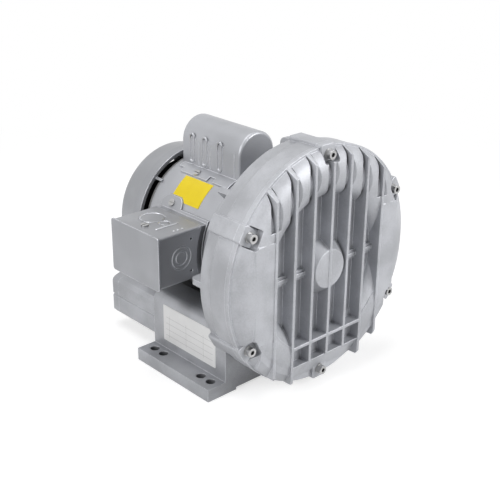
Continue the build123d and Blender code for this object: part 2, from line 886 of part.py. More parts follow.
def muffler_screws():
    """Long screws that clamp the end plate and the muffler box to the base."""
    length = muffler_back_y + end_plate_t - base_back_y + muffler_grip
    screw = socket_screw(muffler_screw_r, 4.2, 5.0, length, 2.2)
    back = muffler_back_y + end_plate_t
    return group([facing_back(screw, x, back, z) for x, z in muffler_screw_places])


def foam(side):
    """Sound-absorbing foam that lines one muffler chamber."""
    y0 = base_back_y + gasket_t + 1.0
    y1 = muffler_back_y - 1.0
    half = muffler_half_width + 5
    one_side = block(min(0, side * half), max(0, side * half), y0, y1, 0, shaft_height)
    block_shape = muffler_tunnels(y0, y1, 0.3) & one_side
    duct = muffler_tunnels(y0 - 1, y1 + 1, foam_t) & block(-half, half, y0 - 1, y1 + 1, 0, shaft_height)
    block_shape -= duct
    for x, z in muffler_screw_places:
        block_shape -= rod(muffler_boss_r + 0.4, y0 - 1, y1 + 1, x, z)
    return block_shape


# ---------------------------------------------------------------- ball bearings
def bearing(spec, y):
    """Outer ring, inner ring, balls and cage of a deep groove ball bearing whose front face is at y."""
    width = spec["width"]
    bore = spec["bore"]
    outer = spec["outer"]
    ball = spec["ball"]
    pitch_r = (bore + outer) / 2
    mid = y + width / 2
    race_gap = 0.45 * ball
    groove = ball + bearing_play
    race_cut = revolve(Plane.YZ * Pos(mid, shaft_height + pitch_r) * Circle(groove), SHAFT)
    outer_ring = ring(outer, pitch_r + race_gap, y, y + width) - race_cut
    inner_ring = ring(pitch_r - race_gap, bore, y, y + width) - race_cut
    balls = []
    for angle in spread(spec["balls"]):
        x, z = polar(pitch_r, angle)
        balls.append(Pos(x, mid, shaft_height + z) * Sphere(ball))
    cage_half = race_gap - 0.3
    cage = ring(pitch_r + cage_half, pitch_r - cage_half, mid - 1.3 * ball, mid + 1.3 * ball)
    for angle in spread(spec["balls"]):
        pocket = extrude(Circle(ball + 0.12), amount=outer)
        cage -= facing_out(pocket, angle, bore / 2, mid)
    return outer_ring, inner_ring, group(balls), cage


# ---------------------------------------------------------------- shaft and what turns with it
def shaft():
    """Stepped shaft from the impeller thread to the fan seat."""
    front = thread_front_y
    body = turned(
        (front, 0),
        (front, thread_r - 1),
        (front + 1, thread_r),
        (impeller_hub_front_y + 1, thread_r),
        (impeller_hub_front_y + 1, impeller_seat_r),
        (shim_front_y, impeller_seat_r),
        (shim_back_y, impeller_seat_r),
        (shim_back_y, seal_r),
        (front_bearing_back_y, seal_r),
        (front_bearing_back_y, shaft_r),
        (rear_bearing_y, shaft_r),
        (rear_bearing_y, rear_bearing["bore"]),
        (rear_bearing_back_y + 1, rear_bearing["bore"]),
        (rear_bearing_back_y + 1, fan_seat_r),
        (fan_back_y + 4, fan_seat_r),
        (fan_back_y + 4, 0),
    )
    body -= key_block(0.02)
    groove_y = fan_back_y + 0.2
    return body - ring(fan_seat_r + 1, fan_seat_r - clip_depth, groove_y, groove_y + clip_t + 0.1)


def key_block(extra=0.0):
    """Square key between the shaft and the impeller hub."""
    half = key_size / 2 + extra
    low = shaft_height + impeller_seat_r - key_size / 2 - extra
    y0 = impeller_hub_front_y + 2 - extra
    return block(-half, half, y0, impeller_back_y - 1 + extra, low, low + key_size + 2 * extra)


def impeller():
    """Die-cast impeller: hub, web and a ring of blade pockets open on both faces."""
    web0 = impeller_mid_y - impeller_web_t / 2
    web1 = impeller_mid_y + impeller_web_t / 2
    rim_in = channel_r - channel_half_width - 3.0
    body = turned(
        (impeller_hub_front_y, impeller_seat_r + 0.02),
        (impeller_hub_front_y, impeller_hub_r),
        (web0, impeller_hub_r + 2),
        (web0, rim_in - 2),
        (impeller_front_y, rim_in),
        (impeller_front_y, impeller_r),
        (impeller_back_y, impeller_r),
        (impeller_back_y, rim_in),
        (web1, rim_in - 2),
        (web1, impeller_hub_r + 2),
        (impeller_back_y, impeller_hub_r),
        (impeller_back_y, impeller_seat_r + 0.02),
    )
    key_way = block(
        -key_size / 2 - 0.05, key_size / 2 + 0.05, impeller_hub_front_y - 1, impeller_back_y + 1,
        shaft_height, shaft_height + impeller_seat_r + key_size / 2 + 0.1,
    )
    return body - blade_pockets() - key_way


def blade_pockets():
    """Pockets between the blades, on the front and the rear face."""
    pocket_depth = impeller_width / 2 - impeller_divider_t / 2
    angle = 360 / blade_count - degrees(blade_t / channel_r)
    half_width = (impeller_r - blade_root_r) / 2
    mean_r = (impeller_r + blade_root_r) / 2 + impeller_ring_t
    pockets = []
    for y in (impeller_front_y, impeller_back_y):
        section = Plane.YZ * Pos(y, shaft_height + mean_r) * Ellipse(pocket_depth, half_width)
        pocket = revolve(section, SHAFT, revolution_arc=angle)
        pockets += [turn_about_shaft(pocket, a) for a in spread(blade_count)]
    return Part() + pockets


def lock_nut():
    """Hexagonal lock nut with a collar."""
    hexagon = extrude(front_plane(nut_back_y) * RegularPolygon(9.5, 6, major_radius=False), amount=nut_h - 3)
    collar = rod(8.6, nut_back_y - nut_h, nut_back_y - nut_h + 3.1)
    return hexagon + collar - rod(thread_r + 0.02, nut_back_y - nut_h - 1, nut_back_y + 1)


def rotor_cage():
    """Aluminium end rings with short vanes; the core lies between them."""
    r_out = stator_bore_r - air_gap - 1.5
    rings = []
    for y, side in ((stack_front_y, -1), (stack_back_y, 1)):
        face = y + side * end_ring_length
        y0, y1 = sorted((y, face))
        rings.append(ring(r_out, end_ring_inner_r, y0, y1))
        v0, v1 = sorted((face, face + side * vane_length))
        low = shaft_height + end_ring_inner_r + 1
        vane = block(-1, 1, v0, v1, low, shaft_height + r_out - 1)
        vanes = [turn_about_shaft(vane, a) for a in spread(6)]
        rings[-1] += vanes
    return group(rings)


def cooling_fan():
    """Moulded radial fan."""
    hub = ring(fan_hub_r, fan_seat_r + 0.02, fan_front_y, fan_back_y)
    plate = ring(fan_r, fan_hub_r - 1, fan_front_y, fan_front_y + 2.0)
    blade = block(
        -fan_blade_t / 2, fan_blade_t / 2, fan_front_y + 1, fan_back_y,
        shaft_height + fan_hub_r - 1, shaft_height + fan_r - 1,
    )
    return hub + plate + [turn_about_shaft(blade, a) for a in spread(fan_blades)]


def fan_clip():
    """Retaining ring behind the fan."""
    y0 = fan_back_y + 0.25
    clip = ring(fan_seat_r + 2.2, fan_seat_r - clip_depth + 0.05, y0, y0 + clip_t)
    return clip - block(-2, 2, y0 - 1, y0 + 3, shaft_height, shaft_height + 20)


# ---------------------------------------------------------------- motor
def front_end_bell():
    """Cast end bell between the housing and the motor shell."""
    back = shell_front_y
    body = turned(
        (bell_front_y, seal_outer_r + 4),
        (bell_front_y, bell_r - 1),
        (bell_front_y + 1, bell_r),
        (back - 1.0, bell_r),
        (back, bell_r - 1.0),
        (back, shell_inner_r - seat_gap),
        (back + 6, shell_inner_r - seat_gap),
        (back + 6, shell_inner_r - 4),
        (bell_front_y + bell_plate_t + 6, bell_r - bell_wall),
        (bell_front_y + bell_plate_t, bell_r - bell_wall - 6),
        (bell_front_y + bell_plate_t, 28),
        (front_bearing_back_y, 26),
        (front_bearing_back_y, front_bearing["outer"] + 0.02),
        (front_bearing_y, front_bearing["outer"] + 0.02),
        (front_bearing_y, seal_outer_r),
        (seal_front_y, seal_outer_r),
        (seal_front_y, seal_outer_r + 4),
    )
    pilot = ring(pilot_r, seal_outer_r, chamber_back_y, bell_front_y + 1)
    body += pilot
    body += [through_bolt_boss(angle) for angle in through_bolt_angles]
    for angle in motor_screw_angles:
        x, z = polar(motor_screw_circle_r, angle)
        body += rod(7.0, bell_front_y + 1, bell_front_y + 15, x, z)
        body -= rod(3.02, bell_front_y - 1, bell_front_y + 13, x, z)
    for angle in through_bolt_angles:
        x, z = polar(through_bolt_circle_r, angle)
        body -= rod(through_bolt_r + 0.02, shell_front_y - 12, shell_front_y + 8, x, z)
    return body


def through_bolt_boss(angle):
    """Boss in the end bell for the thread of one through bolt."""
    x, z = polar(through_bolt_circle_r, angle)
    boss = rod(5.0, shell_front_y - 14, shell_front_y + 6, x, z)
    return boss & rod(shell_inner_r - seat_gap, shell_front_y - 15, shell_front_y + 7)


def motor_shell():
    """Rolled steel shell round the stator."""
    body = ring(shell_r, shell_inner_r, shell_front_y, shell_back_y)
    body -= lead_hole()
    thread = extrude(Circle(small_thread_r), amount=6)
    for side_angle in (90 - cap_screw_angle, 90 + cap_screw_angle):
        body -= facing_out(thread, side_angle, shell_inner_r - 2, cap_screw_y)
    body -= facing_out(extrude(Circle(8), amount=6), 90, shell_inner_r - 2, cap_cover_back_y - 18)
    for y, z in saddle_screw_places:
        angle = 180 - degrees(asin(z / shell_r))
        body -= facing_out(extrude(Circle(small_thread_r), amount=6), angle, shell_inner_r - 2, y)
    return body


def stator_core():
    """Laminated stator with open slots and flats for the through bolts."""
    core = ring(shell_inner_r - 0.05, stator_bore_r, stack_front_y, stack_back_y)
    y0, y1 = stack_front_y - 1, stack_back_y + 1
    root = shaft_height + slot_root_r
    slot = block(-slot_half_w, slot_half_w, y0, y1, root, root + slot_depth)
    mouth = block(-slot_mouth, slot_mouth, y0, y1, shaft_height + stator_bore_r - 6, root + 1)
    cutters = [turn_about_shaft(slot + mouth, a) for a in spread(slot_count)]
    for angle in through_bolt_angles:
        x, z = polar(through_bolt_circle_r + 2, angle)
        cutters.append(rod(2 * through_bolt_r, y0, y1, x, z))
    return core - cutters


def stator_windings():
    """Coil sides in the slots and the end turns at both ends."""
    half = slot_half_w - slot_liner
    inner = slot_root_r + slot_liner
    outer = slot_root_r + slot_depth - slot_liner
    low = shaft_height + inner
    bar = block(-half, half, stack_front_y - 2, stack_back_y + 2, low, shaft_height + outer)
    body = Part() + [turn_about_shaft(bar, a) for a in spread(slot_count)]
    for y, side in ((stack_front_y, -1), (stack_back_y, 1)):
        far = y + side * end_turn
        near = y + side * 1.0
        wide = outer + end_turn_bulge
        narrow = slot_root_r - 3 * slot_liner
        body += turned(
            (near, narrow),
            (near, outer + 1),
            (near + side * end_turn_bulge, wide),
            (far - side * 3, wide),
            (far, outer),
            (far, inner + 3),
            (far - side * 3, narrow),
        )
    return body


def bearing_wave_washer():
    """Spring washer behind the rear bearing."""
    y0 = rear_bearing_back_y + seat_gap
    return ring(wave_outer_r, wave_inner_r, y0, y0 + wave_t - 2 * seat_gap)


def thermal_protector():
    """Protector strapped on the rear end turns."""
    y0 = stack_back_y + end_turn + 0.1
    low = shaft_height + slot_root_r + 4
    return block(-9, 9, y0, y0 + 4.0, low, low + 10)


def rear_end_bell():
    """Cast rear end bell with the rear bearing seat."""
    back = rear_bearing_back_y + wave_t
    rim = shell_r - 0.8
    body = turned(
        (shell_back_y - 6, shell_inner_r - seat_gap),
        (shell_back_y, shell_inner_r - seat_gap),
        (shell_back_y, rim),
        (shell_back_y + 3.5, rim),
        (shell_back_y + 7, rim - 6),
        (back - 4, rim - 12),
        (back - 4, 26),
        (back + 3, 23),
        (back + 3, rear_bearing["bore"] + 3),
        (back, rear_bearing["bore"] + 3),
        (back, rear_bearing["outer"] + 0.02),
        (rear_bearing_y - 1, rear_bearing["outer"] + 0.02),
        (rear_bearing_y - 1, 22),
        (back - 8, 26),
        (back - 8, rim - 14),
        (shell_back_y + 3, rim - 9),
        (shell_back_y - 6, rim - 9),
    )
    for angle in through_bolt_angles:
        x, z = polar(through_bolt_circle_r, angle)
        limit = rod(shell_inner_r - seat_gap, 0, shell_back_y) + rod(rim, shell_back_y, bolt_head_y)
        body += rod(6.0, shell_back_y - 6, bolt_head_y, x, z) & limit
        body -= rod(through_bolt_r + bolt_play, shell_back_y - 8, bolt_head_y + 1, x, z)
        body -= rod(5.2, bolt_head_y, bolt_head_y + 6, x, z)
    body += [cowl_lug(angle) for angle in cowl_screw_angles]
    thread = extrude(Circle(small_thread_r), amount=12)
    for angle in cowl_screw_angles:
        body -= facing_out(thread, angle, shell_r - 6, cowl_screw_y)
    return body


def cowl_lug(angle):
    """Lug on the rear end bell, inside the cowl's skirt, for one cowl screw."""
    low = fan_r + running_gap + 1.6
    skirt = ring(cowl_lug_r, low, shell_back_y + 2, cowl_screw_y + 5)
    half = cowl_lug_w / 2
    strip_low_z, strip_high_z = shaft_height + low - 1, shaft_height + cowl_lip_r
    strip = block(-half, half, shell_back_y, cowl_screw_y + 6, strip_low_z, strip_high_z)
    neck = rod(cowl_lip_inner_r - 0.5, shell_back_y + 2, cowl_lip_y + cowl_t + seat_gap)
    rear = ring(cowl_lug_r, low, cowl_lip_y + cowl_t + seat_gap, cowl_screw_y + 5)
    return (skirt & neck & turn_about_shaft(strip, angle - 90)) + (rear & turn_about_shaft(strip, angle - 90))


def through_bolts():
    """Four long bolts that clamp the end bells on the shell."""
    length = bolt_head_y - (shell_front_y - 11)
    hexagon = extrude(RegularPolygon(4.0, 6, major_radius=False), amount=3.5)
    bolt = hexagon + extrude(Circle(through_bolt_r), amount=-length)
    places = [polar(through_bolt_circle_r, angle) for angle in through_bolt_angles]
    return group([facing_back(bolt, x, bolt_head_y, z) for x, z in places])


# ---------------------------------------------------------------- fan cowl
def cowl_form(inset):
    """Solid outer form of the fan cowl, made smaller by inset."""
    back = cowl_back_y - inset
    form = turned(
        (cowl_lip_y + inset, 0),
        (cowl_lip_y + inset, cowl_lip_r - inset),
        (cowl_lip_y + cowl_skirt, cowl_lip_r - inset),
        (back, cowl_back_r - inset),
        (back + 3.5, 0),
    )
    rim = form.edges().filter_by(GeomType.CIRCLE).sort_by(Axis.Y)
    corner = [e for e in rim if abs(e.radius - (cowl_back_r - inset)) < 0.01]
    return fillet(corner, cowl_round - inset)


def fan_cowl():
    """Fan cowl with inlet slots behind and four tabs forward to the shell."""
    body = cowl_form(0) - cowl_form(cowl_t)
    body -= rod(cowl_lip_inner_r, cowl_lip_y - 1, cowl_lip_y + cowl_t + 1)
    slots = Part() + [ring(r + 4.5, r, cowl_back_y - 4, cowl_back_y + 6) for r in (16, 25, 34, 43)]
    spoke = block(-60, 60, cowl_back_y - 5, cowl_back_y + 7, shaft_height - 3, shaft_height + 3)
    spokes = [turn_about_shaft(spoke, angle) for angle in (45, 135)]
    body -= slots - spokes
    body += [cowl_tab(angle) for angle in cowl_tab_angles]
    for angle in cowl_screw_angles:
        body -= facing_out(extrude(Circle(small_hole_r), amount=12), angle, shell_r - 2, cowl_screw_y)
    return body


def cowl_tab(angle):
    """Narrow finger from the lip of the cowl onto the end of the shell."""
    finger = ring(cowl_lip_inner_r + 0.5, shell_r + seat_gap, cowl_tab_front_y, cowl_lip_y + cowl_t)
    half = cowl_tab_w / 2
    top = shaft_height + cowl_lip_r
    strip = block(-half, half, cowl_tab_front_y - 1, cowl_lip_y + 5, shaft_height + fan_r, top)
    return finger & turn_about_shaft(strip, angle - 90)


def fan_cowl_screws():
    """Short screws through the cowl's skirt into the lugs of the rear end bell."""
    screw = pan_screw(small_screw_r, small_head_r, small_head_h, 8.0)
    return group([facing_out(screw, angle, cowl_lip_r, cowl_screw_y) for angle in cowl_screw_angles])


# ---------------------------------------------------------------- capacitor
def arch(inset, y0, y1):
    """Upright arch-shaped prism over the motor shell."""
    r = cap_cover_half_width - inset
    shape = rod(r, y0, y1, 0, cap_cover_arc_z)
    return shape + block(-r, r, y0, y1, shaft_height + 40, shaft_height + cap_cover_arc_z)


def capacitor_cover():
    """Pressed cover with beads, rounded ends and two foot strips that follow the shell."""
    y0, y1 = cap_cover_front_y, cap_cover_back_y
    outer = arch(0, y0, y1)
    ends = outer.edges().filter_by_position(Axis.Y, y0, y0) + outer.edges().filter_by_position(Axis.Y, y1, y1)
    rounded = [e for e in ends if e.center().Z > shaft_height + 50]
    outer = fillet(rounded, 3.0)
    for side in (-1, 1):
        for y in bead_ys:
            outer += bead(y, side)
        for y in crease_ys:
            outer -= crease(y, side)
    foot = ring(shell_r + seat_gap + cap_foot_t, shell_r - 1, y0 + 4, y1 - 4)
    reach = shell_r * sin(radians(cap_foot_angle))
    foot &= block(-reach, reach, y0, y1, shaft_height + 40, shaft_height + 80)
    top_z = shaft_height + 2 * shell_r
    notch = Part() + [block(-shell_r, -reach + 5, y - 4, y + 4, shaft_height, top_z) for y in notch_ys]
    body = outer + (foot - notch)
    body -= arch(cap_cover_t, y0 + cap_cover_t, y1 - cap_cover_t)
    body -= rod(shell_r + seat_gap, y0 - 1, y1 + 1)
    for side_angle in (90 - cap_screw_angle, 90 + cap_screw_angle):
        body -= facing_out(extrude(Circle(small_hole_r), amount=8), side_angle, shell_r - 2, cap_screw_y)
    return body


def bead(y, side):
    """Raised upright loop pressed into one side of the capacitor cover."""
    loop = SlotOverall(bead_length, bead_w) - SlotOverall(
        bead_length - 2 * bead_line_w, bead_w - 2 * bead_line_w,
    )
    loop = extrude(loop, amount=bead_rise + cap_cover_t / 2)
    crown = loop.edges().group_by(Axis.Z)[-1]
    loop = fillet(crown, 0.7 * bead_rise)
    middle = shaft_height + cap_cover_arc_z + 10.5 - bead_length / 2
    x = side * (cap_cover_half_width - cap_cover_t / 2)
    return Plane(origin=(x, y, middle), x_dir=(0, 0, 1), z_dir=(side, 0, 0)) * loop


def crease(y, side):
    """Cutter for a shallow upright line on one side of the capacitor cover."""
    top = shaft_height + cap_cover_arc_z + 11
    x0, x1 = sorted((side * (cap_cover_half_width - crease_depth), side * (cap_cover_half_width + 1)))
    return block(x0, x1, y - crease_w / 2, y + crease_w / 2, top - bead_length, top)


def capacitor_cover_screws():
    """One screw in each foot strip."""
    seat = shell_r + seat_gap + cap_foot_t
    screw = pan_screw(small_screw_r, small_head_r, small_head_h, seat - shell_inner_r - 0.2)
    angles = (90 - cap_screw_angle, 90 + cap_screw_angle)
    return group([facing_out(screw, angle, seat, cap_screw_y) for angle in angles])


def capacitor():
    """Round capacitor lying on the shell, with two blade terminals."""
    z = shell_r + 0.3 + capacitor_r
    y0 = cap_cover_front_y + 4
    y1 = y0 + capacitor_length
    body = rod(capacitor_r, y0, y1, 0, z)
    body = fillet(body.edges().filter_by(GeomType.CIRCLE), 1.5)
    for x in (-6, 6):
        body += block(x - 3, x + 3, y1 - 1, y1 + 8, shaft_height + z - 0.4, shaft_height + z + 0.4)
    return body


# ---------------------------------------------------------------- conduit box
def conduit_box():
    """Box on the side of the motor, open outwards, its inner edge seated on the saddle."""
    z0, z1 = shaft_height + box_bottom, shaft_height + box_top
    inner_x = -shell_r / 2
    outer = block(box_outer_x, inner_x, box_front_y, box_back_y, z0, z1)
    outer = fillet(outer.edges().filter_by(Axis.X), 2.5)
    y0, y1 = box_front_y + box_t, box_back_y - box_t
    inner = block(box_outer_x - 1, inner_x + 1, y0, y1, z0 + box_t, z1 - box_t)
    body = outer - inner
    floor_r = box_seat_r + box_t
    floor = block(box_outer_x, inner_x, box_front_y + 0.5, box_back_y - 0.5, z0 + 0.5, z1 - 0.5)
    body += floor & ring(floor_r, box_seat_r - 0.5, box_front_y, box_back_y)
    body -= rod(box_seat_r + thread_fit, box_front_y - 1, box_back_y + 1)
    body -= lead_hole()
    body -= box_knockouts()
    ground = extrude(Circle(small_thread_r), amount=8)
    body -= facing_out(ground, ground_angle, box_seat_r - 1, box_front_y + 14)
    lid_hole = extrude(Circle(small_hole_r), amount=5)
    for z, up in ((z1, 1), (z0, -1)):
        body -= Plane(origin=(lid_screw_x, box_mid_y, z + up), z_dir=(0, 0, -up)) * lid_hole
    for y, z in saddle_screw_places[1:]:
        angle = 180 - degrees(asin(z / shell_r))
        body -= facing_out(extrude(Circle(small_hole_r), amount=8), angle, box_seat_r - 1, y)
    pilot = extrude(Circle(pilot_hole_r), amount=-2 * box_t)
    for z in (box_mid + pilot_hole_gap, box_mid - pilot_hole_gap):
        body -= facing_front(pilot, knockout_x + 12, box_front_y, z)
    return body


def lead_hole():
    """Cutter for the hole that the motor leads pass through."""
    hole = extrude(Circle(lead_hole_r), amount=box_seat_r - shell_inner_r + 8)
    return facing_out(hole, 180, shell_inner_r - 2, box_mid_y)


def knockout_ring(r):
    """Groove that outlines a knockout, cut from z = 0 down."""
    half = knockout_groove / 2
    return extrude(Circle(r + half) - Circle(r - half), amount=-knockout_depth)


def box_knockouts():
    """Knockout outlines on the front, rear, top and bottom of the conduit box."""
    x = knockout_x
    cutters = Part()
    for r in (knockout_r, knockout_inner_r):
        cutters += facing_front(knockout_ring(r), x, box_front_y, box_mid)
        cutters += facing_back(knockout_ring(r), x, box_back_y, box_mid)
    for up, z in ((1, box_top), (-1, box_bottom)):
        for r, y in ((top_knockout_r, box_back_y - 23.5), (top_small_r, box_front_y + 28.0)):
            cutters += Plane(origin=(x + 3, y, shaft_height + z), z_dir=(0, 0, up)) * knockout_ring(r)
    return cutters


def conduit_box_cover():
    """Flat lid with two inner tongues for its screws."""
    z0, z1 = shaft_height + box_bottom, shaft_height + box_top
    lap = box_lid_lap
    plate = block(
        box_outer_x - box_lid_t, box_outer_x, box_front_y - lap, box_back_y + lap, z0 - lap, z1 + lap,
    )
    plate = fillet(plate.edges().filter_by(Axis.X), 3.0)
    thread = extrude(Circle(small_thread_r), amount=6)
    for z, up in ((z1 - box_t, -1), (z0 + box_t, 1)):
        low, high = sorted((z + up * 0.1, z + up * 1.7))
        plate += block(box_outer_x - 0.5, lid_screw_x + 6, box_mid_y - 8, box_mid_y + 8, low, high)
        plate -= Plane(origin=(lid_screw_x, box_mid_y, z - up), z_dir=(0, 0, up)) * thread
    return plate


def conduit_box_cover_screws():
    """One screw through the top and one through the bottom of the box."""
    screw = pan_screw(small_screw_r, small_head_r, small_head_h, 8.0)
    top = Plane(origin=(lid_screw_x, box_mid_y, shaft_height + box_top), z_dir=(0, 0, 1)) * screw
    bottom = Plane(origin=(lid_screw_x, box_mid_y, shaft_height + box_bottom), z_dir=(0, 0, -1)) * screw
    return group([top, bottom])


def box_saddle():
    """Curved plate between the shell and the conduit box, with a tab above the box."""
    sheet = ring(saddle_r, shell_r + 0.02, box_front_y + 2, box_back_y + 5)
    low, high = box_bottom - 4, box_top + 1
    main = block(box_outer_x, 0, box_front_y + 2, box_back_y + 3, shaft_height + low, shaft_height + high)
    tab_y = saddle_screw_places[0][0]
    tab = Pos(-60, tab_y, shaft_height + high - 8) * Box(80, saddle_tab_w, saddle_tab_h)
    tab = fillet(tab.edges().filter_by(Axis.X), saddle_tab_round)
    body = sheet & (main + tab)
    body += seat_frame()
    body -= lead_hole()
    for y, z in saddle_screw_places:
        angle = 180 - degrees(asin(z / shell_r))
        body -= facing_out(extrude(Circle(small_hole_r), amount=14), angle, shell_r - 1, y)
    return body


def seat_frame():
    """Raised frame of the saddle that the box's floor sits on, with a pad at each inner screw."""
    inset = seat_frame_inset
    z0, z1 = shaft_height + box_bottom + inset, shaft_height + box_top - inset
    y0, y1 = box_front_y + inset + 1, box_back_y - inset
    w = seat_frame_w
    outer = block(-box_seat_r - 1, -shell_r / 2, y0, y1, z0, z1)
    frame = outer - block(-box_seat_r - 2, 0, y0 + w, y1 - w, z0 + w, z1 - w)
    for y, z in saddle_screw_places[1:]:
        angle = 180 - degrees(asin(z / shell_r))
        frame += facing_out(extrude(Circle(6.0), amount=12), angle, saddle_r - 1, y)
    return frame & ring(box_seat_r, saddle_r - 0.5, y0, y1)


def saddle_screws():
    """Screws that hold the box and its saddle to the shell; one is outside, in the tab."""
    screws = []
    for number, (y, z) in enumerate(saddle_screw_places):
        angle = 180 - degrees(asin(z / shell_r))
        seat = saddle_r if number == 0 else box_seat_r + box_t
        screw = pan_screw(small_screw_r, small_head_r, small_head_h, seat - shell_inner_r - 0.2)
        screws.append(facing_out(screw, angle, seat, y))
    return group(screws)


def terminal_board():
    """Insulating board with four studs inside the conduit box."""
    x = -box_seat_r - box_t
    z = shaft_height + box_mid
    board = block(x - 9, x - 6, box_mid_y + 6, box_mid_y + 30, z - 14, z + 14)
    board += block(x - 7, x + 2, box_mid_y + 14, box_mid_y + 22, z - 5, z + 5)
    stud = extrude(Circle(stud_r), amount=7)
    for dy in (12, 24):
        for dz in (-8, 8):
            board += Plane(origin=(x - 9, box_mid_y + dy, z + dz), z_dir=(-1, 0, 0)) * stud
    return board - rod(box_seat_r + box_t + thread_fit, box_front_y, box_back_y)


def ground_screw():
    """Green earth screw in the floor of the conduit box."""
    screw = extrude(RegularPolygon(4.2, 6), amount=3) + extrude(Circle(small_screw_r), amount=-box_t + 0.1)
    return facing_out(screw, ground_angle, box_seat_r + box_t, box_front_y + 14)


# ---------------------------------------------------------------- write every node
def nodes():
    """Every node of the blower by name."""
    made = {
        "impeller_cover": impeller_cover(),
        "cover_screws": cover_screws(),
        "cover_washers": cover_washers(),
        "blower_housing": blower_housing(),
        "base": base(),
        "base_screws": base_screws(),
        "muffler_gasket": muffler_gasket(),
        "muffler_box": muffler_box(),
        "muffler_end_plate": muffler_end_plate(),
        "muffler_screws": muffler_screws(),
        "inlet_foam": foam(-1),
        "outlet_foam": foam(1),
        "impeller": impeller(),
        "impeller_key": key_block(),
        "impeller_shims": ring(shim_r, impeller_seat_r + thread_fit, shim_front_y, shim_back_y),
        "impeller_washer": ring(shim_r, thread_r + bolt_play, nut_back_y, impeller_hub_front_y),
        "impeller_lock_nut": lock_nut(),
        "shaft_seal": ring(seal_outer_r - 0.02, seal_r + 0.05, seal_front_y, seal_front_y + seal_width),
        "front_end_bell": front_end_bell(),
        "motor_mounting_screws": motor_mounting_screws(),
        "shaft": shaft(),
        "rotor_core": ring(stator_bore_r - air_gap, shaft_r + 0.02, stack_front_y, stack_back_y),
        "rotor_cage": rotor_cage(),
        "stator_core": stator_core(),
        "stator_windings": stator_windings(),
        "thermal_protector": thermal_protector(),
        "motor_shell": motor_shell(),
        "rear_end_bell": rear_end_bell(),
        "through_bolts": through_bolts(),
        "bearing_wave_washer": bearing_wave_washer(),
        "cooling_fan": cooling_fan(),
        "fan_clip": fan_clip(),
        "fan_cowl": fan_cowl(),
        "fan_cowl_screws": fan_cowl_screws(),
        "capacitor_cover": capacitor_cover(),
        "capacitor_cover_screws": capacitor_cover_screws(),
        "capacitor": capacitor(),
        "conduit_box_saddle": box_saddle(),
        "conduit_box_mounting_screws": saddle_screws(),
        "conduit_box": conduit_box(),
        "conduit_box_cover": conduit_box_cover(),
        "conduit_box_cover_screws": conduit_box_cover_screws(),
        "terminal_board": terminal_board(),
        "ground_screw": ground_screw(),
    }
    for place, spec, y in (("front", front_bearing, front_bearing_y), ("rear", rear_bearing, rear_bearing_y)):
        pieces = bearing(spec, y)
        for piece, shape in zip(("outer_ring", "inner_ring", "balls", "cage"), pieces):
            made[f"{place}_bearing_{piece}"] = shape
    return made


for name, shape in nodes().items():
    export_step(shape, f"parts/{name}.step")
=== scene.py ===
# %% [markdown]
# # Dressing a side channel blower
# The blower is a silver-grey machine of painted castings and pressed steel, with bright screws.
# Its solid parts are loaded as a fixed frame, and their meshes stay as they are. The cells below
# give every part a finish. They then add what is too thin for the solid model, which is the beads
# on the conduit box, the plate on the base and the sticker on the motor, and end with a floor,
# three lamps and a camera. All lengths are in metres.

# %% Load the fixed frame
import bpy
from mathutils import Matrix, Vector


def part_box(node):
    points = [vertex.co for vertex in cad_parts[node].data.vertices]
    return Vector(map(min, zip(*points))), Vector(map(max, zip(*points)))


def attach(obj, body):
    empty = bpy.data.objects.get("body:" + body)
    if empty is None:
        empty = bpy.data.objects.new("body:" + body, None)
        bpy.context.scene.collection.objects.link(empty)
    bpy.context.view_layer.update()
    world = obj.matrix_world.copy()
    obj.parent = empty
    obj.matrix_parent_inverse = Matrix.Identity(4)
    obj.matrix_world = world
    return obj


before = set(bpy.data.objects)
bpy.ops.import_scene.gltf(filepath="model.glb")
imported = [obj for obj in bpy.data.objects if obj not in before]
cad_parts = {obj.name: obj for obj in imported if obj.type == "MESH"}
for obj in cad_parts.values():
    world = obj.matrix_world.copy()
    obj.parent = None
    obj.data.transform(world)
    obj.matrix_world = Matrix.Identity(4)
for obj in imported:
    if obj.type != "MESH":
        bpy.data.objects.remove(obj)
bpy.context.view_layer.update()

# %% Modules
from math import cos, radians, sin

import bpy
from mathutils import Matrix, Vector

print("Blender", bpy.app.version_string)


# %% [markdown]
# ## Shader arithmetic
# A procedural finish is mostly small sums on noise. A Math node could be added by hand for each
# operator, but then a sum of three terms fills a page. Here one class wraps an output socket, so a
# sum is written as a sum, and every operator adds its own node. The reflected forms, such as
# __rsub__, are there so that 1 - mask works as well as mask - 1.

# %% A value that takes arithmetic
class Value:
    """A number that changes over a surface: one output socket of a node tree."""

    def __init__(self, nodes, socket):
        self.nodes = nodes
        self.socket = socket

    def math(self, operation, first, second=0.0):
        made = self.nodes.add("ShaderNodeMath", {"operation": operation}, {0: first, 1: second})
        return Value(self.nodes, made.outputs[0])

    def __add__(self, other):
        return self.math("ADD", self, other)

    def __radd__(self, other):
        return self.math("ADD", other, self)

    def __sub__(self, other):
        return self.math("SUBTRACT", self, other)

    def __rsub__(self, other):
        return self.math("SUBTRACT", other, self)

    def __mul__(self, other):
        return self.math("MULTIPLY", self, other)

    def __rmul__(self, other):
        return self.math("MULTIPLY", other, self)

    def above(self, limit):
        return self.math("GREATER_THAN", self, limit)

    def below(self, limit):
        return self.math("LESS_THAN", self, limit)

    def absolute(self):
        return self.math("ABSOLUTE", self)

    def wave(self, step):
        """Distance to the nearest multiple of step, in the same unit."""
        return self.math("PINGPONG", self, step / 2)

    def ramp(self, low, high):
        """Smooth step from 0 at low to 1 at high."""
        settings = {"interpolation_type": "SMOOTHSTEP"}
        sockets = {"Value": self, "From Min": low, "From Max": high}
        made = self.nodes.add("ShaderNodeMapRange", settings, sockets)
        return Value(self.nodes, made.outputs["Result"])


print("a value takes:", [name for name in vars(Value) if callable(getattr(Value, name))])


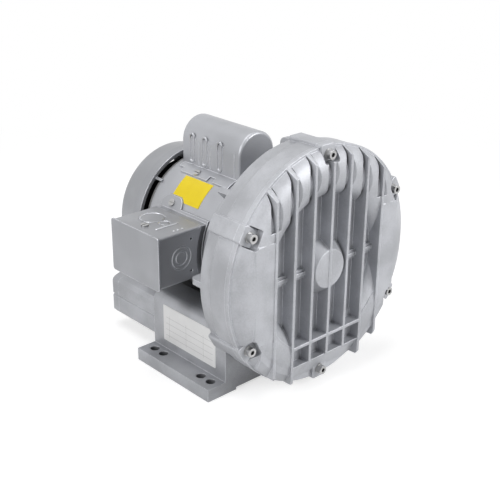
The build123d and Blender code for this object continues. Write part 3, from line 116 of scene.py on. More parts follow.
# %% [markdown]
# ## Nodes and finishes
# A finish is a material that starts with Blender's Principled shader, which can be paint, metal or
# rubber, and patterns then feed its sockets. Nodes could be made, set and linked one call at a
# time, but that takes five lines for each. Here they all come from one method, which the arithmetic
# above uses too. It applies the settings first, such as a Math node's operation, because they can
# change the sockets, and then gives each socket a plain value or a link.

# %% Adding nodes
class Nodes:
    """A node tree that is being filled, of a material or of the world."""

    def __init__(self, tree):
        self.tree = tree

    def add(self, kind, settings=None, sockets=None):
        """Add a node, with its settings and the values or links of its sockets."""
        made = self.tree.nodes.new(kind)
        for key, setting in (settings or {}).items():
            setattr(made, key, setting)
        for key, value in (sockets or {}).items():
            self.feed(made.inputs[key], value)
        return made

    def feed(self, socket, value):
        """Link an output to a socket, or give the socket a plain value."""
        if isinstance(value, Value):
            value = value.socket
        if isinstance(value, bpy.types.NodeSocket):
            self.tree.links.new(value, socket)
        else:
            socket.default_value = value


print("nodes come from", Nodes.add.__qualname__)

# %% A finish
class Finish(Nodes):
    """A material that is built round its Principled shader."""

    def __init__(self, name, color, roughness, metallic=0.0):
        self.material = bpy.data.materials.new(name)
        self.material.use_nodes = True
        self.material.diffuse_color = (*color, 1.0)
        super().__init__(self.material.node_tree)
        self.shader = self.tree.nodes["Principled BSDF"]
        self.set("Base Color", (*color, 1.0))
        self.set("Roughness", roughness)
        self.set("Metallic", metallic)
        self.place = self.add("ShaderNodeTexCoord").outputs["Object"]

    def set(self, name, value):
        """Give one socket of the shader a value or a link."""
        self.feed(self.shader.inputs[name], value)


print("a finish is a kind of", Finish.__base__.__name__)


# %% [markdown]
# ## Grain, wear, painted highlight and painted shade
# Real paint is never one flat colour. It has patches and grain, and it is thinned along edges by
# wear. Here the edges are also painted paler as painted highlight, and corners and hollows are
# painted darker as painted shade. Image files could show that, but they need unwrapped parts and
# show seams. Noise on the part's own coordinates has neither fault. Edges are found with the Bevel
# node, which gives the direction of a rounded surface: where that differs from the true direction
# there is an edge. Hollows are found with the Ambient Occlusion node, which sees how much of the
# open space a point faces.

# %% Noise
def noise(finish, size, detail=3.0, roughness=0.55, stretch=(1, 1, 1)):
    """Noise between 0 and 1 whose lumps are about size metres across."""
    place = finish.add("ShaderNodeMapping", None, {"Vector": finish.place, "Scale": stretch})
    sockets = {"Vector": place.outputs[0], "Scale": 1.0 / size}
    sockets.update({"Detail": detail, "Roughness": roughness})
    return Value(finish, finish.add("ShaderNodeTexNoise", None, sockets).outputs["Fac"])


print("noise ready")

# %% Colour between two colours
def mix(finish, mask, first, second):
    """Colour that goes from first to second as mask goes from 0 to 1."""
    made = finish.add("ShaderNodeMix", {"data_type": "RGBA"}, {"Factor": mask})
    color_sockets = [socket for socket in made.inputs if socket.type == "RGBA"]
    for socket, color in zip(color_sockets, (first, second)):
        finish.feed(socket, (*color, 1.0) if isinstance(color, tuple) else color)
    return next(socket for socket in made.outputs if socket.type == "RGBA")


print("colour mix ready")

# %% Edges
BEVEL_SAMPLES = 6
EDGE_TURN = (0.01, 0.14)


def rounded(finish, radius):
    """Surface direction with every corner rounded by radius metres."""
    return finish.add("ShaderNodeBevel", {"samples": BEVEL_SAMPLES}, {"Radius": radius}).outputs[0]


def edges(finish, radius):
    """1 on corners, 0 on open faces: how far rounding turns the surface direction."""
    flat = finish.add("ShaderNodeNewGeometry").outputs["True Normal"]
    sockets = {0: rounded(finish, radius), 1: flat}
    alike = finish.add("ShaderNodeVectorMath", {"operation": "DOT_PRODUCT"}, sockets)
    return (1 - Value(finish, alike.outputs["Value"])).ramp(*EDGE_TURN)


print("edges show between", EDGE_TURN)

# %% Hollows
SKY_SAMPLES = 8
SKY_HIDDEN = (0.35, 0.95)


def hollows(finish, reach):
    """1 deep in corners and grooves narrower than reach, 0 in the open."""
    sky = finish.add("ShaderNodeAmbientOcclusion", {"samples": SKY_SAMPLES}, {"Distance": reach})
    return (1 - Value(finish, sky.outputs["AO"])).ramp(*SKY_HIDDEN)


print("hollows show between", SKY_HIDDEN)

# %% Relief
def relief(finish, height, depth, edge=0.0):
    """Bump of the given depth in metres over corners softened by edge metres."""
    sockets = {"Height": height, "Distance": depth, "Strength": 1.0}
    if edge:
        sockets["Normal"] = rounded(finish, edge)
    finish.set("Normal", finish.add("ShaderNodeBump", None, sockets).outputs[0])
    return finish.material


print("relief ready")

# %% Greys as the eye judges them
COOL = (0.965, 0.985, 1.045)


def shade(grey, tint=(1.0, 1.0, 1.0)):
    """Linear colour of a display grey between 0 and 1, by the sRGB curve, times a tint."""
    linear = ((grey + 0.055) / 1.055) ** 2.4
    return tuple(linear * part for part in tint)


print("middle grey in linear light:", round(shade(0.5)[0], 3))


# %% [markdown]
# ## Silver-grey paint on castings
# The cover, the housing, the base and the muffler box are die-cast aluminium under a thin silver
# paint. The paint follows the cast skin, so it shows a pebbled grain and faint cloudy patches, and
# its metal flakes make it partly a mirror. The grain could be modelled, but at a millimetre it
# would take millions of faces, so it is relief in the material. The colour is laid on in layers:
# patches first, then painted shade in the hollows, then paler edges, partly wear and partly painted
# highlight. One recipe serves all the castings, each with its own grain and its own reach of shadow.

# %% Layers of paint
def layers(finish, light, steps, patches, shaded, wear_and_highlight):
    """Cool grey in patches, painted shade in hollows, and paler edges: wear plus painted highlight.

    The four steps are added to light for dark patches, pale patches, painted shade and edges with
    wear and painted highlight.
    """
    dark, pale, painted_shade, bare = [shade(light + step, COOL) for step in steps]
    coat = mix(finish, patches, dark, pale)
    # Painted shade: darker colour in hollows and corners, where less light falls.
    coat = mix(finish, shaded, coat, painted_shade)
    # Paler edges: partly real wear, partly a painted highlight along the edges.
    return mix(finish, wear_and_highlight, coat, bare)


print("paint layers ready")

# %% Cast paint
CAST_METALLIC = 0.38
# Steps from the grey: dark patch, pale patch, painted shade in hollows, edge with wear and painted
# highlight.
CAST_STEPS = (-0.05, 0.035, -0.36, 0.16)
CLOUD_SIZE = 0.035
CAST_CHIPS = 0.006
WEAR_HIGHLIGHT_RADIUS = 0.0013
SOFT_RADIUS = 0.0012


def cast_paint(name, light, grain, depth, roughness, shadow_reach):
    """Silver paint on a cast skin whose grain has the given size and depth."""
    finish = Finish(name, shade(light, COOL), roughness, CAST_METALLIC)
    clouds = noise(finish, CLOUD_SIZE)
    skin = noise(finish, grain, detail=4.0, roughness=0.6)
    patches = (clouds * 0.7 + skin * 0.3).ramp(low=0.35, high=0.65)
    chips = noise(finish, CAST_CHIPS, detail=4.0).ramp(low=0.2, high=0.55)
    # Edge mask in chipped patches, for wear and for a painted highlight on the edges.
    wear_and_highlight = edges(finish, WEAR_HIGHLIGHT_RADIUS) * chips
    # Painted shade in hollows, as far as shadow_reach.
    shaded = hollows(finish, shadow_reach) * 0.85
    finish.set("Base Color", layers(finish, light, CAST_STEPS, patches, shaded, wear_and_highlight * 0.8))
    finish.set("Roughness", roughness - 0.05 + clouds * 0.1 - wear_and_highlight * 0.12)
    return relief(finish, skin, depth, SOFT_RADIUS)


print("cast paint ready")

# %% Housing, cover and base
housing_paint = cast_paint(
    "housing_paint", light=0.70, grain=0.0011, depth=0.00006, roughness=0.42, shadow_reach=0.025,
)
cover_paint = cast_paint(
    "cover_paint", light=0.715, grain=0.0015, depth=0.00012, roughness=0.50, shadow_reach=0.0055,
)
base_paint = cast_paint(
    "base_paint", light=0.68, grain=0.0010, depth=0.00005, roughness=0.40, shadow_reach=0.050,
)
print("cast paints:", housing_paint.name, cover_paint.name, base_paint.name)


# %% [markdown]
# ## Grey paint on pressed steel
# The motor shell, the cowl, the conduit box and the capacitor cover are pressed from steel sheet.
# Their paint is smoother than on the castings and has only a faint orange peel. It could be the
# cast recipe with less grain, but a pressed sheet also carries shallow marks of the press. So this
# recipe takes a helper that draws marks, and adds them to the height and, as painted highlight, to
# the paler edges.

# %% Sheet paint
SHEET_METALLIC = 0.42
# Steps from the grey: dark patch, pale patch, painted shade in hollows, edge with wear and painted
# highlight.
SHEET_STEPS = (-0.03, 0.02, -0.34, 0.28)
PEEL_SIZE = 0.0016
PEEL_SHARE = 0.04
HAZE_SIZE = 0.05
SHEET_CHIPS = 0.005
PRESS_DEPTH = 0.0005


def sheet_paint(name, light, roughness, shadow_reach, marks=None):
    """Smooth satin paint on sheet steel, with optional marks pressed into the sheet."""
    finish = Finish(name, shade(light, COOL), roughness, SHEET_METALLIC)
    height = noise(finish, PEEL_SIZE, detail=1.5, roughness=0.4) * PEEL_SHARE
    haze = noise(finish, HAZE_SIZE, detail=2.0)
    chips = noise(finish, SHEET_CHIPS, detail=4.0).ramp(low=0.1, high=0.45)
    # Edge mask in chipped patches, for wear and for a painted highlight on the edges.
    wear_and_highlight = edges(finish, WEAR_HIGHLIGHT_RADIUS) * chips
    if marks:
        pressed, mark_highlight = marks(finish)
        height = height + pressed
        wear_and_highlight = wear_and_highlight + mark_highlight
    patches = haze.ramp(low=0.3, high=0.7)
    # Painted shade in hollows, as far as shadow_reach.
    shaded = hollows(finish, shadow_reach) * 0.8
    finish.set("Base Color", layers(finish, light, SHEET_STEPS, patches, shaded, wear_and_highlight * 0.9))
    finish.set("Roughness", roughness - 0.03 + haze * 0.06 - wear_and_highlight * 0.08)
    return relief(finish, height, PRESS_DEPTH, SOFT_RADIUS)


print("sheet paint ready")

# %% Place on a part
def axes(finish):
    """X, Y and Z of the part's own place, in metres."""
    parts = finish.add("ShaderNodeSeparateXYZ", None, {0: finish.place})
    return [Value(finish, output) for output in parts.outputs]


print("axes ready")

# %% Knockouts in the top of the conduit box
BOX_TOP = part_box("conduit_box")[1].z
KNOCKOUTS = (
    {"radius": 0.0120, "middle": (-0.0915, 0.0385, BOX_TOP)},
    {"radius": 0.0050, "middle": (-0.0915, 0.0200, BOX_TOP)},
)
RING_HALF_WIDTH = 0.0012
RING_SIDE = 0.0006
RING_SHARE = 0.6


def knockout_marks(finish):
    """Height of the sunk rings round the two knockouts, and a painted highlight on their far side.
    """
    pressed = 0.0
    mark_highlight = 0.0
    y, z = axes(finish)[1:]
    for knockout in KNOCKOUTS:
        sockets = {0: finish.place, 1: knockout["middle"]}
        apart = finish.add("ShaderNodeVectorMath", {"operation": "DISTANCE"}, sockets)
        off_ring = (Value(finish, apart.outputs["Value"]) - knockout["radius"]).absolute()
        ring = (RING_HALF_WIDTH - off_ring).ramp(low=0.0, high=RING_SIDE)
        # Painted highlight: only the far side of each ring is painted paler, the wall that faces the
        # light.
        far_side = (y - knockout["middle"][1]).ramp(low=0.0, high=0.5 * knockout["radius"])
        pressed = pressed - ring * RING_SHARE
        mark_highlight = mark_highlight + ring * far_side
    on_top = z.above(BOX_TOP - RING_HALF_WIDTH)
    return pressed * on_top, mark_highlight * on_top


print("box top at", round(BOX_TOP * 1000, 2), "mm, with", len(KNOCKOUTS), "knockouts")

# %% The sheet parts
shell_paint = sheet_paint("shell_paint", light=0.68, roughness=0.38, shadow_reach=0.025)
box_paint = sheet_paint(
    "box_paint", light=0.65, roughness=0.36, shadow_reach=0.040, marks=knockout_marks,
)
# The beads get a paler copy of the box paint: a painted highlight.
bead_paint = sheet_paint("bead_paint", light=0.84, roughness=0.32, shadow_reach=0.004)
cowl_paint = sheet_paint("cowl_paint", light=0.63, roughness=0.36, shadow_reach=0.010)
print("sheet paints:", shell_paint.name, box_paint.name, bead_paint.name, cowl_paint.name)


# %% [markdown]
# ## Bare metals
# Screws and washers are bright zinc plate with fine turning marks. Bearing steel is ground smooth.
# The impeller and the rotor's ends are bare castings with small dark pits, and the two cores are
# stacks of thin sheets. One metal with a few values could serve them all, but what tells these
# metals apart is the pattern, so each has its own recipe. Turning and grinding marks are noise that
# is stretched along one axis.

# %% Zinc plate
def plated_steel(name, light, roughness):
    """Bright plated steel with faint scratches, and painted shade in its recesses."""
    finish = Finish(name, shade(light), roughness, metallic=1.0)
    scratches = noise(finish, size=0.0022, detail=5.0, roughness=0.7, stretch=(1, 9, 1))
    blush = noise(finish, size=0.006, detail=2.0)
    plate = mix(finish, blush, shade(light - 0.08), shade(light + 0.03))
    # Painted shade: the colour darkens in recesses and corners, such as the screws' hex sockets.
    painted_shade = shade(0.12)
    finish.set("Base Color", mix(finish, hollows(finish, reach=0.005), plate, painted_shade))
    finish.set("Roughness", roughness - 0.05 + scratches * 0.18)
    return relief(finish, scratches, depth=0.000012, edge=0.0003)


zinc = plated_steel("zinc_plate", light=0.72, roughness=0.28)
print("plated:", zinc.name)

# %% Ground steel
def ground_steel(name, light, roughness):
    """Ground and polished steel."""
    finish = Finish(name, shade(light), roughness, metallic=1.0)
    lines = noise(finish, size=0.0005, roughness=0.6, stretch=(1, 14, 1))
    finish.set("Base Color", mix(finish, lines, shade(light - 0.05), shade(light + 0.02)))
    finish.set("Roughness", roughness + lines * 0.1)
    return relief(finish, lines, depth=0.000004)


bearing_steel = ground_steel("bearing_steel", light=0.84, roughness=0.12)
print("ground:", bearing_steel.name)

# %% Scattered spots
def spots(finish, size):
    """Distance to the nearest of many scattered points, in cells of the given size."""
    sockets = {"Vector": finish.place, "Scale": 1.0 / size}
    return Value(finish, finish.add("ShaderNodeTexVoronoi", None, sockets).outputs["Distance"])


print("spots ready")

# %% Bare castings
def bare_casting(name, light):
    """Unpainted aluminium as it leaves the mould."""
    finish = Finish(name, shade(light), roughness=0.48, metallic=0.9)
    skin = noise(finish, size=0.0009, detail=4.0, roughness=0.65)
    pits = spots(finish, size=0.003).ramp(low=0.02, high=0.1)
    finish.set("Base Color", mix(finish, pits, shade(light - 0.25), shade(light)))
    finish.set("Roughness", 0.4 + skin * 0.2)
    return relief(finish, skin + pits * 0.6, depth=0.00006, edge=0.0004)


raw_aluminium = bare_casting("raw_aluminium", light=0.80)
# The rear end bell is the same bare aluminium painted darker, as painted shade: it sits in the shade
# of the cowl.
shaded_aluminium = bare_casting("shaded_aluminium", light=0.50)
print("bare castings:", raw_aluminium.name, shaded_aluminium.name)

# %% Laminations
SHEET_THICKNESS = 0.0009


def laminations(name):
    """Stack of thin sheets seen on edge, under varnish."""
    finish = Finish(name, shade(0.36), roughness=0.4, metallic=0.7)
    along = axes(finish)[1]
    sheets = along.wave(SHEET_THICKNESS).ramp(low=0.00008, high=0.00028)
    stain = noise(finish, size=0.008)
    varnish = sheets * (0.6 + stain * 0.4)
    finish.set("Base Color", mix(finish, varnish, shade(0.16), shade(0.42)))
    return relief(finish, sheets, depth=0.00008)


lamination = laminations("lamination_stack")
print("stack:", lamination.name, "of", SHEET_THICKNESS * 1000, "mm sheets")


# %% [markdown]
# ## Plastics, rubber, foam and winding wire
# These are mostly inside the machine. They could all share one dark material, but parts are also
# looked at on their own, so each has its grain: turns of wire on the windings, open cells in the
# foam, fibres in the terminal board, and a fine mould texture with a little dust on the rest.

# %% Moulded plastic and rubber
def moulded(name, color, roughness, grain, depth):
    """Moulded plastic or rubber with a mould texture and a little dust."""
    finish = Finish(name, color, roughness)
    texture = noise(finish, grain)
    dust = noise(finish, size=0.02).ramp(low=0.45, high=0.75)
    dusty = tuple(0.9 * part + 0.02 for part in color)
    finish.set("Base Color", mix(finish, dust, color, dusty))
    finish.set("Roughness", roughness + texture * 0.08)
    return relief(finish, texture, depth, edge=0.0003)


GREEN = (0.03, 0.22, 0.08)
black_plastic = moulded("black_plastic", shade(0.14), roughness=0.45, grain=0.0008, depth=0.00003)
capacitor_case = moulded("capacitor_case", shade(0.10), roughness=0.25, grain=0.0015, depth=0.00001)
seal_rubber = moulded("seal_rubber", shade(0.12), roughness=0.7, grain=0.0006, depth=0.00004)
gasket_sheet = moulded("gasket_sheet", shade(0.24), roughness=0.85, grain=0.0008, depth=0.00005)
green_plate = moulded("green_plate", GREEN, roughness=0.3, grain=0.001, depth=0.00002)
print("moulded:", [made.name for made in (black_plastic, capacitor_case, seal_rubber, gasket_sheet)])
print("ground screw:", green_plate.name)

# %% Winding wire
WIRE_PITCH = 0.0012
COPPER = (0.45, 0.16, 0.05)
COPPER_DARK = (0.10, 0.03, 0.01)
COPPER_BRIGHT = (0.55, 0.2, 0.07)


def winding_wire(name):
    """Varnished copper turns."""
    finish = Finish(name, COPPER, roughness=0.3, metallic=0.85)
    x, y, z = axes(finish)
    turns = (x + y * 0.15 + z).wave(WIRE_PITCH).ramp(low=0.0001, high=0.0005)
    varnish = noise(finish, size=0.01)
    shine = turns * (0.5 + varnish * 0.5)
    finish.set("Base Color", mix(finish, shine, COPPER_DARK, COPPER_BRIGHT))
    return relief(finish, turns, depth=0.00025)


copper = winding_wire("winding_wire")
print("wire pitch", WIRE_PITCH * 1000, "mm")

# %% Foam
def open_foam(name):
    """Open-cell foam."""
    finish = Finish(name, shade(0.30), roughness=0.95)
    cells = spots(finish, size=0.0018).ramp(low=0.1, high=0.6)
    finish.set("Base Color", mix(finish, cells, shade(0.16), shade(0.38)))
    return relief(finish, cells, depth=0.0006)


foam = open_foam("open_foam")
print("foam:", foam.name)

# %% Terminal board
BROWN = (0.36, 0.24, 0.12)
BROWN_DARK = (0.25, 0.15, 0.07)
BROWN_PALE = (0.45, 0.31, 0.17)


def phenolic(name):
    """Pressed fibre board."""
    finish = Finish(name, BROWN, roughness=0.5)
    fibres = noise(finish, size=0.003, detail=6.0, roughness=0.7, stretch=(1, 1, 6))
    finish.set("Base Color", mix(finish, fibres, BROWN_DARK, BROWN_PALE))
    return relief(finish, fibres, depth=0.00004)


board = phenolic("phenolic_board")
print("materials so far:", len(bpy.data.materials))


# %% [markdown]
# ## Which part gets which finish
# The solid parts keep their meshes, and only the materials in their slots change. Each part could
# get its finish in a line of its own. One table is easier to check against the parts list, and the
# cell prints any part that the table leaves out.

# %% Give every solid part its finish
FINISHES = {
    cover_paint: ["impeller_cover"],
    housing_paint: ["blower_housing", "front_end_bell"],
    base_paint: ["base", "muffler_box", "muffler_end_plate"],
    shell_paint: ["motor_shell", "capacitor_cover"],
    cowl_paint: ["fan_cowl"],
    box_paint: ["conduit_box", "conduit_box_cover", "conduit_box_saddle"],
    zinc: [
        "cover_screws", "cover_washers", "base_screws", "muffler_screws", "impeller_washer",
        "impeller_lock_nut", "motor_mounting_screws", "through_bolts", "fan_cowl_screws",
        "capacitor_cover_screws", "conduit_box_mounting_screws", "conduit_box_cover_screws",
        "front_bearing_cage", "rear_bearing_cage",
    ],
    bearing_steel: [
        "impeller_key", "impeller_shims", "shaft", "bearing_wave_washer", "fan_clip",
        "front_bearing_outer_ring", "front_bearing_inner_ring", "front_bearing_balls",
        "rear_bearing_outer_ring", "rear_bearing_inner_ring", "rear_bearing_balls",
    ],
    raw_aluminium: ["impeller", "rotor_cage"],
    shaded_aluminium: ["rear_end_bell"],
    lamination: ["rotor_core", "stator_core"],
    copper: ["stator_windings"],
    black_plastic: ["thermal_protector", "cooling_fan"],
    capacitor_case: ["capacitor"],
    seal_rubber: ["shaft_seal"],
    gasket_sheet: ["muffler_gasket"],
    foam: ["inlet_foam", "outlet_foam"],
    board: ["terminal_board"],
    green_plate: ["ground_screw"],
}

left_over = set(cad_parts)
for material, names in FINISHES.items():
    for name in names:
        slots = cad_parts[name].data.materials
        slots.clear()
        slots.append(material)
        left_over.discard(name)
print("parts without a finish:", sorted(left_over))


# %% [markdown]
# ## Working on new pieces
# New pieces are made with the same operators as by hand. Their meshes could also be written out
# point by point, but operators show each step of the making. They act on whatever is selected, and
# the loaded parts start selected, so the selection is cleared before anything new is made. A
# finished piece has its place in its mesh and its object at the origin, unturned, like the loaded
# parts, so that patterns in its material stay where they are.

# %% Selecting
def clear_selection():
    """Leave edit mode and deselect everything."""
    if bpy.context.object and bpy.context.object.mode != "OBJECT":
        bpy.ops.object.mode_set(mode="OBJECT")
    bpy.ops.object.select_all(action="DESELECT")


def work_on(piece):
    """Make one piece the only one selected."""
    clear_selection()
    piece.select_set(True)
    bpy.context.view_layer.objects.active = piece


clear_selection()
print("selected:", len(bpy.context.selected_objects))

# %% Finishing a piece
SMOOTH_BELOW = 35


def apply_place():
    """Move the selected piece's place, turn and scale into its mesh."""
    bpy.ops.object.transform_apply(location=True, rotation=True, scale=True)


def finish_piece(piece, name, material, body):
    """Name a piece, put its place in its mesh, and hand it to a body."""
    work_on(piece)
    apply_place()
    piece.name = name
    piece.data.name = name
    piece.data.materials.clear()
    piece.data.materials.append(material)
    bpy.ops.object.shade_smooth_by_angle(angle=radians(SMOOTH_BELOW))
    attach(piece, body)
    print(name, "faces:", len(piece.data.polygons))


print("edges sharper than", SMOOTH_BELOW, "degrees stay sharp")


# %% [markdown]
# ## Beads on the conduit box
# The top of the conduit box has one pressed bar and a row of three small dots. They stand half a
# millimetre proud, and their paint is paler than the box's, as painted highlight. They could be bump
# in the paint, but a bead catches light on its sides and shows in outline, so they are real shapes,
# sunk a little into the sheet so that no gap shows. The bar is a block with all its edges rounded.
# One dot is shaped from a cylinder and copied, and each copy gets its own mesh.

# %% Bead sizes
BEAD_RISE = 0.0005
BEAD_SUNK = 0.0004
BEAD_HEIGHT = BEAD_RISE + BEAD_SUNK
BEAD_Z = BOX_TOP + (BEAD_RISE - BEAD_SUNK) / 2
BEAD_ROUND = 0.4 * BEAD_RISE
BAR_MIDDLE = (-0.0950, 0.0120)
BAR_LENGTH = 0.0260
BAR_WIDTH = 0.0024
DOT_R = 0.0011
DOT_PLACES = ((-0.0975, -0.0015), (-0.0925, -0.0015), (-0.0875, -0.0015))
print("bead top", round((BOX_TOP + BEAD_RISE) * 1000, 2), "mm")

# %% Rounded edges
def soften(piece, width):
    """Round every edge of a piece."""
    work_on(piece)
    apply_place()
    bpy.ops.object.mode_set(mode="EDIT")
    bpy.ops.mesh.select_all(action="SELECT")
    bpy.ops.mesh.bevel(offset=width, segments=3, affect="EDGES")
    bpy.ops.object.mode_set(mode="OBJECT")


print("bead edges rounded by", round(BEAD_ROUND * 1000, 2), "mm")

# %% Pressed bar
clear_selection()
bpy.ops.mesh.primitive_cube_add(size=1.0, location=(*BAR_MIDDLE, BEAD_Z))
bar = bpy.context.object
bar.scale = (BAR_LENGTH, BAR_WIDTH, BEAD_HEIGHT)
soften(bar, BEAD_ROUND)
finish_piece(bar, "box_top_bar", bead_paint, "stationary")

# %% First dot
DOT_SIDES = 24
first_x, first_y = DOT_PLACES[0]
clear_selection()
bpy.ops.mesh.primitive_cylinder_add(
    vertices=DOT_SIDES, radius=DOT_R, depth=BEAD_HEIGHT, location=(first_x, first_y, BEAD_Z),
)
first_dot = bpy.context.object
soften(first_dot, BEAD_ROUND)
finish_piece(first_dot, "box_top_dot_1", bead_paint, "stationary")

# %% The other dots
for number, (x, y) in enumerate(DOT_PLACES[1:], start=2):
    dot = first_dot.copy()
    dot.data = first_dot.data.copy()
    bpy.context.scene.collection.objects.link(dot)
    dot.location = (x - first_x, y - first_y, 0)
    finish_piece(dot, f"box_top_dot_{number}", bead_paint, "stationary")


# %% [markdown]
# ## The rating plate
# A white vinyl plate with rounded corners is stuck on the outer wall of the base. It carries no
# words, only blank ruled rows inside a margin. The rules could be thin strips of mesh, but ink has
# no height, so a mask in the material draws them from the piece's own coordinates. The plate is a
# plane with its corners rounded and then extruded. The box of the base reaches out to its feet, so
# the wall's place can't be read from it and is written here.

# %% Plate sizes
WALL_X = -0.0808
PLATE_Y = (-0.0400, 0.0392)
PLATE_Z = (0.0222, 0.0612)
PLATE_CORNER = 0.0012
VINYL_T = 0.0003
MARGIN = 0.004
TOP_MARGIN = 2.5 * MARGIN
ROW_STEP = 0.0066
ROW_LINE = 0.00020
COLUMN_STEP = 0.026
COLUMN_LINE = 0.00018
print("plate", round(PLATE_Y[1] - PLATE_Y[0], 4), "by", round(PLATE_Z[1] - PLATE_Z[0], 4), "m")

# %% Ruled vinyl
def ruled_vinyl(name):
    """White vinyl with blank ruled rows."""
    finish = Finish(name, shade(0.93), roughness=0.35)
    y, z = axes(finish)[1:]
    across = y.above(PLATE_Y[0] + MARGIN) * y.below(PLATE_Y[1] - MARGIN)
    upright = z.above(PLATE_Z[0] + MARGIN) * z.below(PLATE_Z[1] - TOP_MARGIN)
    rows = (z - PLATE_Z[0]).wave(ROW_STEP).below(ROW_LINE)
    columns = (y - MARGIN).wave(COLUMN_STEP).below(COLUMN_LINE)
    ink = (rows + columns) * across * upright
    haze = noise(finish, size=0.02)
    paper = mix(finish, haze, shade(0.88), shade(0.94))
    finish.set("Base Color", mix(finish, ink * 0.5, paper, shade(0.45)))
    finish.set("Roughness", 0.32 + haze * 0.1)
    return relief(finish, haze, depth=0.00001)


plate_vinyl = ruled_vinyl("plate_vinyl")
print("plate finish:", plate_vinyl.name)

# %% Faces outward
def face_outward(piece):
    """Turn every face of a closed piece outward."""
    work_on(piece)
    bpy.ops.object.mode_set(mode="EDIT")
    bpy.ops.mesh.select_all(action="SELECT")
    bpy.ops.mesh.normals_make_consistent(inside=False)
    bpy.ops.object.mode_set(mode="OBJECT")


print("outward helper ready")

# %% Plate mesh
clear_selection()
bpy.ops.mesh.primitive_plane_add(
    size=1.0, location=(WALL_X, sum(PLATE_Y) / 2, sum(PLATE_Z) / 2), rotation=(0, radians(-90), 0),
)
plate = bpy.context.object
plate.scale = (PLATE_Z[1] - PLATE_Z[0], PLATE_Y[1] - PLATE_Y[0], 1)
apply_place()
bpy.ops.object.mode_set(mode="EDIT")
bpy.ops.mesh.select_mode(type="VERT")
bpy.ops.mesh.select_all(action="SELECT")
bpy.ops.mesh.bevel(offset=PLATE_CORNER, segments=4, affect="VERTICES")
bpy.ops.mesh.select_all(action="SELECT")
bpy.ops.mesh.extrude_region_move(TRANSFORM_OT_translate={"value": (-VINYL_T, 0, 0)})
bpy.ops.object.mode_set(mode="OBJECT")
face_outward(plate)
finish_piece(plate, "rating_plate", plate_vinyl, "stationary")


# %% [markdown]
# ## The yellow sticker
# A small yellow sticker sits high on the motor shell. It is blank too, and it hugs the shell. A
# flat sheet could be bent with a modifier, but then its radius depends on the modifier's settings.
# Spinning one straight edge round the shaft's axis gives the shell's own radius, which is read from
# the shell's box along with the height of the shaft.

# %% Sticker sizes
shell_low, shell_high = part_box("motor_shell")
SHAFT_Z = (shell_low.z + shell_high.z) / 2
SHELL_R = (shell_high.x - shell_low.x) / 2
STICKER_Y = (0.0150, 0.0560)
STICKER_LENGTH = STICKER_Y[1] - STICKER_Y[0]
STICKER_FROM = 122.0
STICKER_TO = 146.0
print("shaft height", round(SHAFT_Z, 4), "shell radius", round(SHELL_R, 4))

# %% Yellow vinyl
YELLOW = (0.80, 0.60, 0.005)
YELLOW_DARK = (0.75, 0.56, 0.003)
YELLOW_FADED = (0.85, 0.66, 0.010)


def yellow_vinyl(name):
    """Yellow vinyl, a little faded in patches."""
    finish = Finish(name, YELLOW, roughness=0.38)
    haze = noise(finish, size=0.012)
    finish.set("Base Color", mix(finish, haze, YELLOW_DARK, YELLOW_FADED))
    finish.set("Roughness", 0.34 + haze * 0.1)
    return relief(finish, haze, depth=0.00001)


sticker_vinyl = yellow_vinyl("sticker_vinyl")
print("sticker finish:", sticker_vinyl.name)

# %% Picking vertices
def pick_vertices(piece, wanted):
    """Select the vertices whose place passes a test, and go to edit mode."""
    bpy.ops.object.mode_set(mode="EDIT")
    bpy.ops.mesh.select_mode(type="VERT")
    bpy.ops.mesh.select_all(action="DESELECT")
    bpy.ops.object.mode_set(mode="OBJECT")
    for vertex in piece.data.vertices:
        vertex.select = wanted(vertex.co)
    bpy.ops.object.mode_set(mode="EDIT")


print("picking ready")

# %% One straight edge on the shell
start = radians(STICKER_FROM)
edge_at = (SHELL_R * cos(start), sum(STICKER_Y) / 2, SHAFT_Z + SHELL_R * sin(start))
clear_selection()
bpy.ops.mesh.primitive_plane_add(size=STICKER_LENGTH, location=edge_at)
sticker = bpy.context.object
apply_place()
pick_vertices(sticker, lambda place: place.x > edge_at[0])
bpy.ops.mesh.delete(type="VERT")
bpy.ops.mesh.select_all(action="SELECT")
bpy.ops.transform.translate(value=(STICKER_LENGTH / 2, 0, 0))
bpy.ops.object.mode_set(mode="OBJECT")
print("edge of", len(sticker.data.vertices), "vertices")

# %% Spin the edge and give it thickness
bpy.ops.object.mode_set(mode="EDIT")
bpy.ops.mesh.select_all(action="SELECT")
bpy.ops.mesh.spin(
    steps=16, angle=radians(STICKER_TO - STICKER_FROM), center=(0, 0, SHAFT_Z), axis=(0, 1, 0),
)
bpy.ops.object.mode_set(mode="OBJECT")
solidify = sticker.modifiers.new("Solidify", "SOLIDIFY")
solidify.thickness = 2 * VINYL_T
solidify.offset = 0.0
bpy.ops.object.modifier_apply(modifier=solidify.name)
face_outward(sticker)
finish_piece(sticker, "yellow_sticker", sticker_vinyl, "stationary")


# %% [markdown]
# ## Floor and light
# The blower stands on plain pale paper in soft studio light. White surroundings could come from
# strong lamps, but then the silver paint burns out. So three large soft lamps and a dim world light
# the machine at a plain level, and a Light Path switch shows white only to rays that see: those from
# the camera, from mirrors and through glass. Near the blower the floor is real paper that takes its
# shadow, and further out it fades into the white.

# %% Rays that see
def seeing_rays(nodes):
    """1 for rays from the camera, from mirrors and through glass, 0 for light that lands."""
    path = nodes.add("ShaderNodeLightPath")
    seeing = Value(nodes, path.outputs["Is Camera Ray"])
    for name in ("Is Glossy Ray", "Is Transmission Ray"):
        seeing = seeing.math("MAXIMUM", seeing, path.outputs[name])
    return seeing


def level_between(nodes, low, high):
    """Strength that is low for light that lands and high for rays that see."""
    sockets = {"Value": seeing_rays(nodes), "To Min": low, "To Max": high}
    return nodes.add("ShaderNodeMapRange", None, sockets).outputs["Result"]


print("ray switch ready")

# %% Floor paper
FLOOR_GREY = (0.55, 0.55, 0.55)
FLOOR_GLOW = 0.62
FLOOR_FADE = (0.35, 0.9)


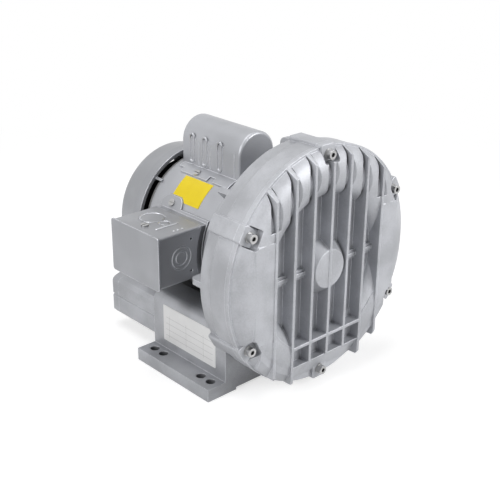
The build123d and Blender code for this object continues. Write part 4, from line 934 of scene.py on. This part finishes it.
def floor_paper(name):
    """Pale paper, lifted towards white for rays that see, and plain white far out."""
    finish = Finish(name, FLOOR_GREY, roughness=0.95)
    finish.set("Emission Color", (1.0, 1.0, 1.0, 1.0))
    finish.set("Emission Strength", level_between(finish, 0.0, FLOOR_GLOW))
    length = finish.add("ShaderNodeVectorMath", {"operation": "LENGTH"}, {0: finish.place})
    far = Value(finish, length.outputs["Value"]).ramp(*FLOOR_FADE) * seeing_rays(finish)
    white = finish.add("ShaderNodeEmission").outputs[0]
    sockets = {0: far, 1: finish.shader.outputs[0], 2: white}
    blend = finish.add("ShaderNodeMixShader", None, sockets).outputs[0]
    finish.feed(finish.tree.nodes["Material Output"].inputs["Surface"], blend)
    return finish.material


print("floor fades to white between", FLOOR_FADE, "m")

# %% Floor
FLOOR_SIZE = 14.0
clear_selection()
bpy.ops.mesh.primitive_plane_add(size=FLOOR_SIZE, location=(0, 0, 0))
floor = bpy.context.object
floor.name = "floor"
floor.data.materials.append(floor_paper("floor_paper"))
print("floor", FLOOR_SIZE, "m across")

# %% World
WORLD_LIGHT = 0.13
WORLD_SEEN = 1.0
world = bpy.data.worlds.new("pale_world")
world.use_nodes = True
world_nodes = Nodes(world.node_tree)
background = world.node_tree.nodes["Background"]
world_nodes.feed(background.inputs["Color"], (1, 1, 1, 1))
world_nodes.feed(background.inputs["Strength"], level_between(world_nodes, WORLD_LIGHT, WORLD_SEEN))
bpy.context.scene.world = world
print("world lights at", WORLD_LIGHT, "and is seen at", WORLD_SEEN)

# %% Lamps
LAMP_SIZE = 1.0
LAMP_AIM = Vector((0, 0, 0.11))
LAMPS = {
    "top_lamp": {"place": (-0.2, 0.2, 1.6), "watts": 11.0},
    "left_lamp": {"place": (-1.6, 0.0, 0.9), "watts": 15.5},
    "front_lamp": {"place": (0.8, -1.5, 0.9), "watts": 24.0},
}


def soft_lamp(name, place, watts):
    """Square area lamp that faces the blower."""
    light = bpy.data.lights.new(name, "AREA")
    light.shape = "SQUARE"
    light.size = LAMP_SIZE
    light.energy = watts
    lamp = bpy.data.objects.new(name, light)
    bpy.context.scene.collection.objects.link(lamp)
    lamp.location = place
    lamp.rotation_euler = (LAMP_AIM - Vector(place)).to_track_quat("-Z", "Y").to_euler()


for name, lamp in LAMPS.items():
    soft_lamp(name, lamp["place"], lamp["watts"])
print("lamps:", {name: lamp["watts"] for name, lamp in LAMPS.items()})


# %% [markdown]
# ## Camera
# The camera looks at the blower from the cover's left and a little from above. It could be aimed by
# a tracking constraint, but that keeps it level. Azimuth, elevation and a small roll give the three
# directions of the camera exactly, and they go into its matrix.

# %% Camera
CAMERA_AT = (-0.5916, -0.6343, 0.4826)
AZIMUTH = radians(-42.9696)
ELEVATION = radians(23.2943)
ROLL = radians(0.6524)
FOCAL_LENGTH = 68.146
SENSOR_WIDTH = 36.0

level = cos(ELEVATION)
back = Vector((sin(AZIMUTH) * level, -cos(AZIMUTH) * level, sin(ELEVATION)))
right = Vector((cos(AZIMUTH), sin(AZIMUTH), 0))
up = back.cross(right)
rolled_right = right * cos(ROLL) + up * sin(ROLL)
rolled_up = up * cos(ROLL) - right * sin(ROLL)

lens = bpy.data.cameras.new("camera")
lens.lens = FOCAL_LENGTH
lens.sensor_width = SENSOR_WIDTH
camera = bpy.data.objects.new("camera", lens)
bpy.context.scene.collection.objects.link(camera)
turn = Matrix((rolled_right, rolled_up, back)).transposed().to_4x4()
camera.matrix_world = Matrix.Translation(CAMERA_AT) @ turn
bpy.context.scene.camera = camera
bpy.context.scene.view_settings.view_transform = "Standard"
print("camera at", CAMERA_AT, "with a", FOCAL_LENGTH, "mm lens")


# %% [markdown]
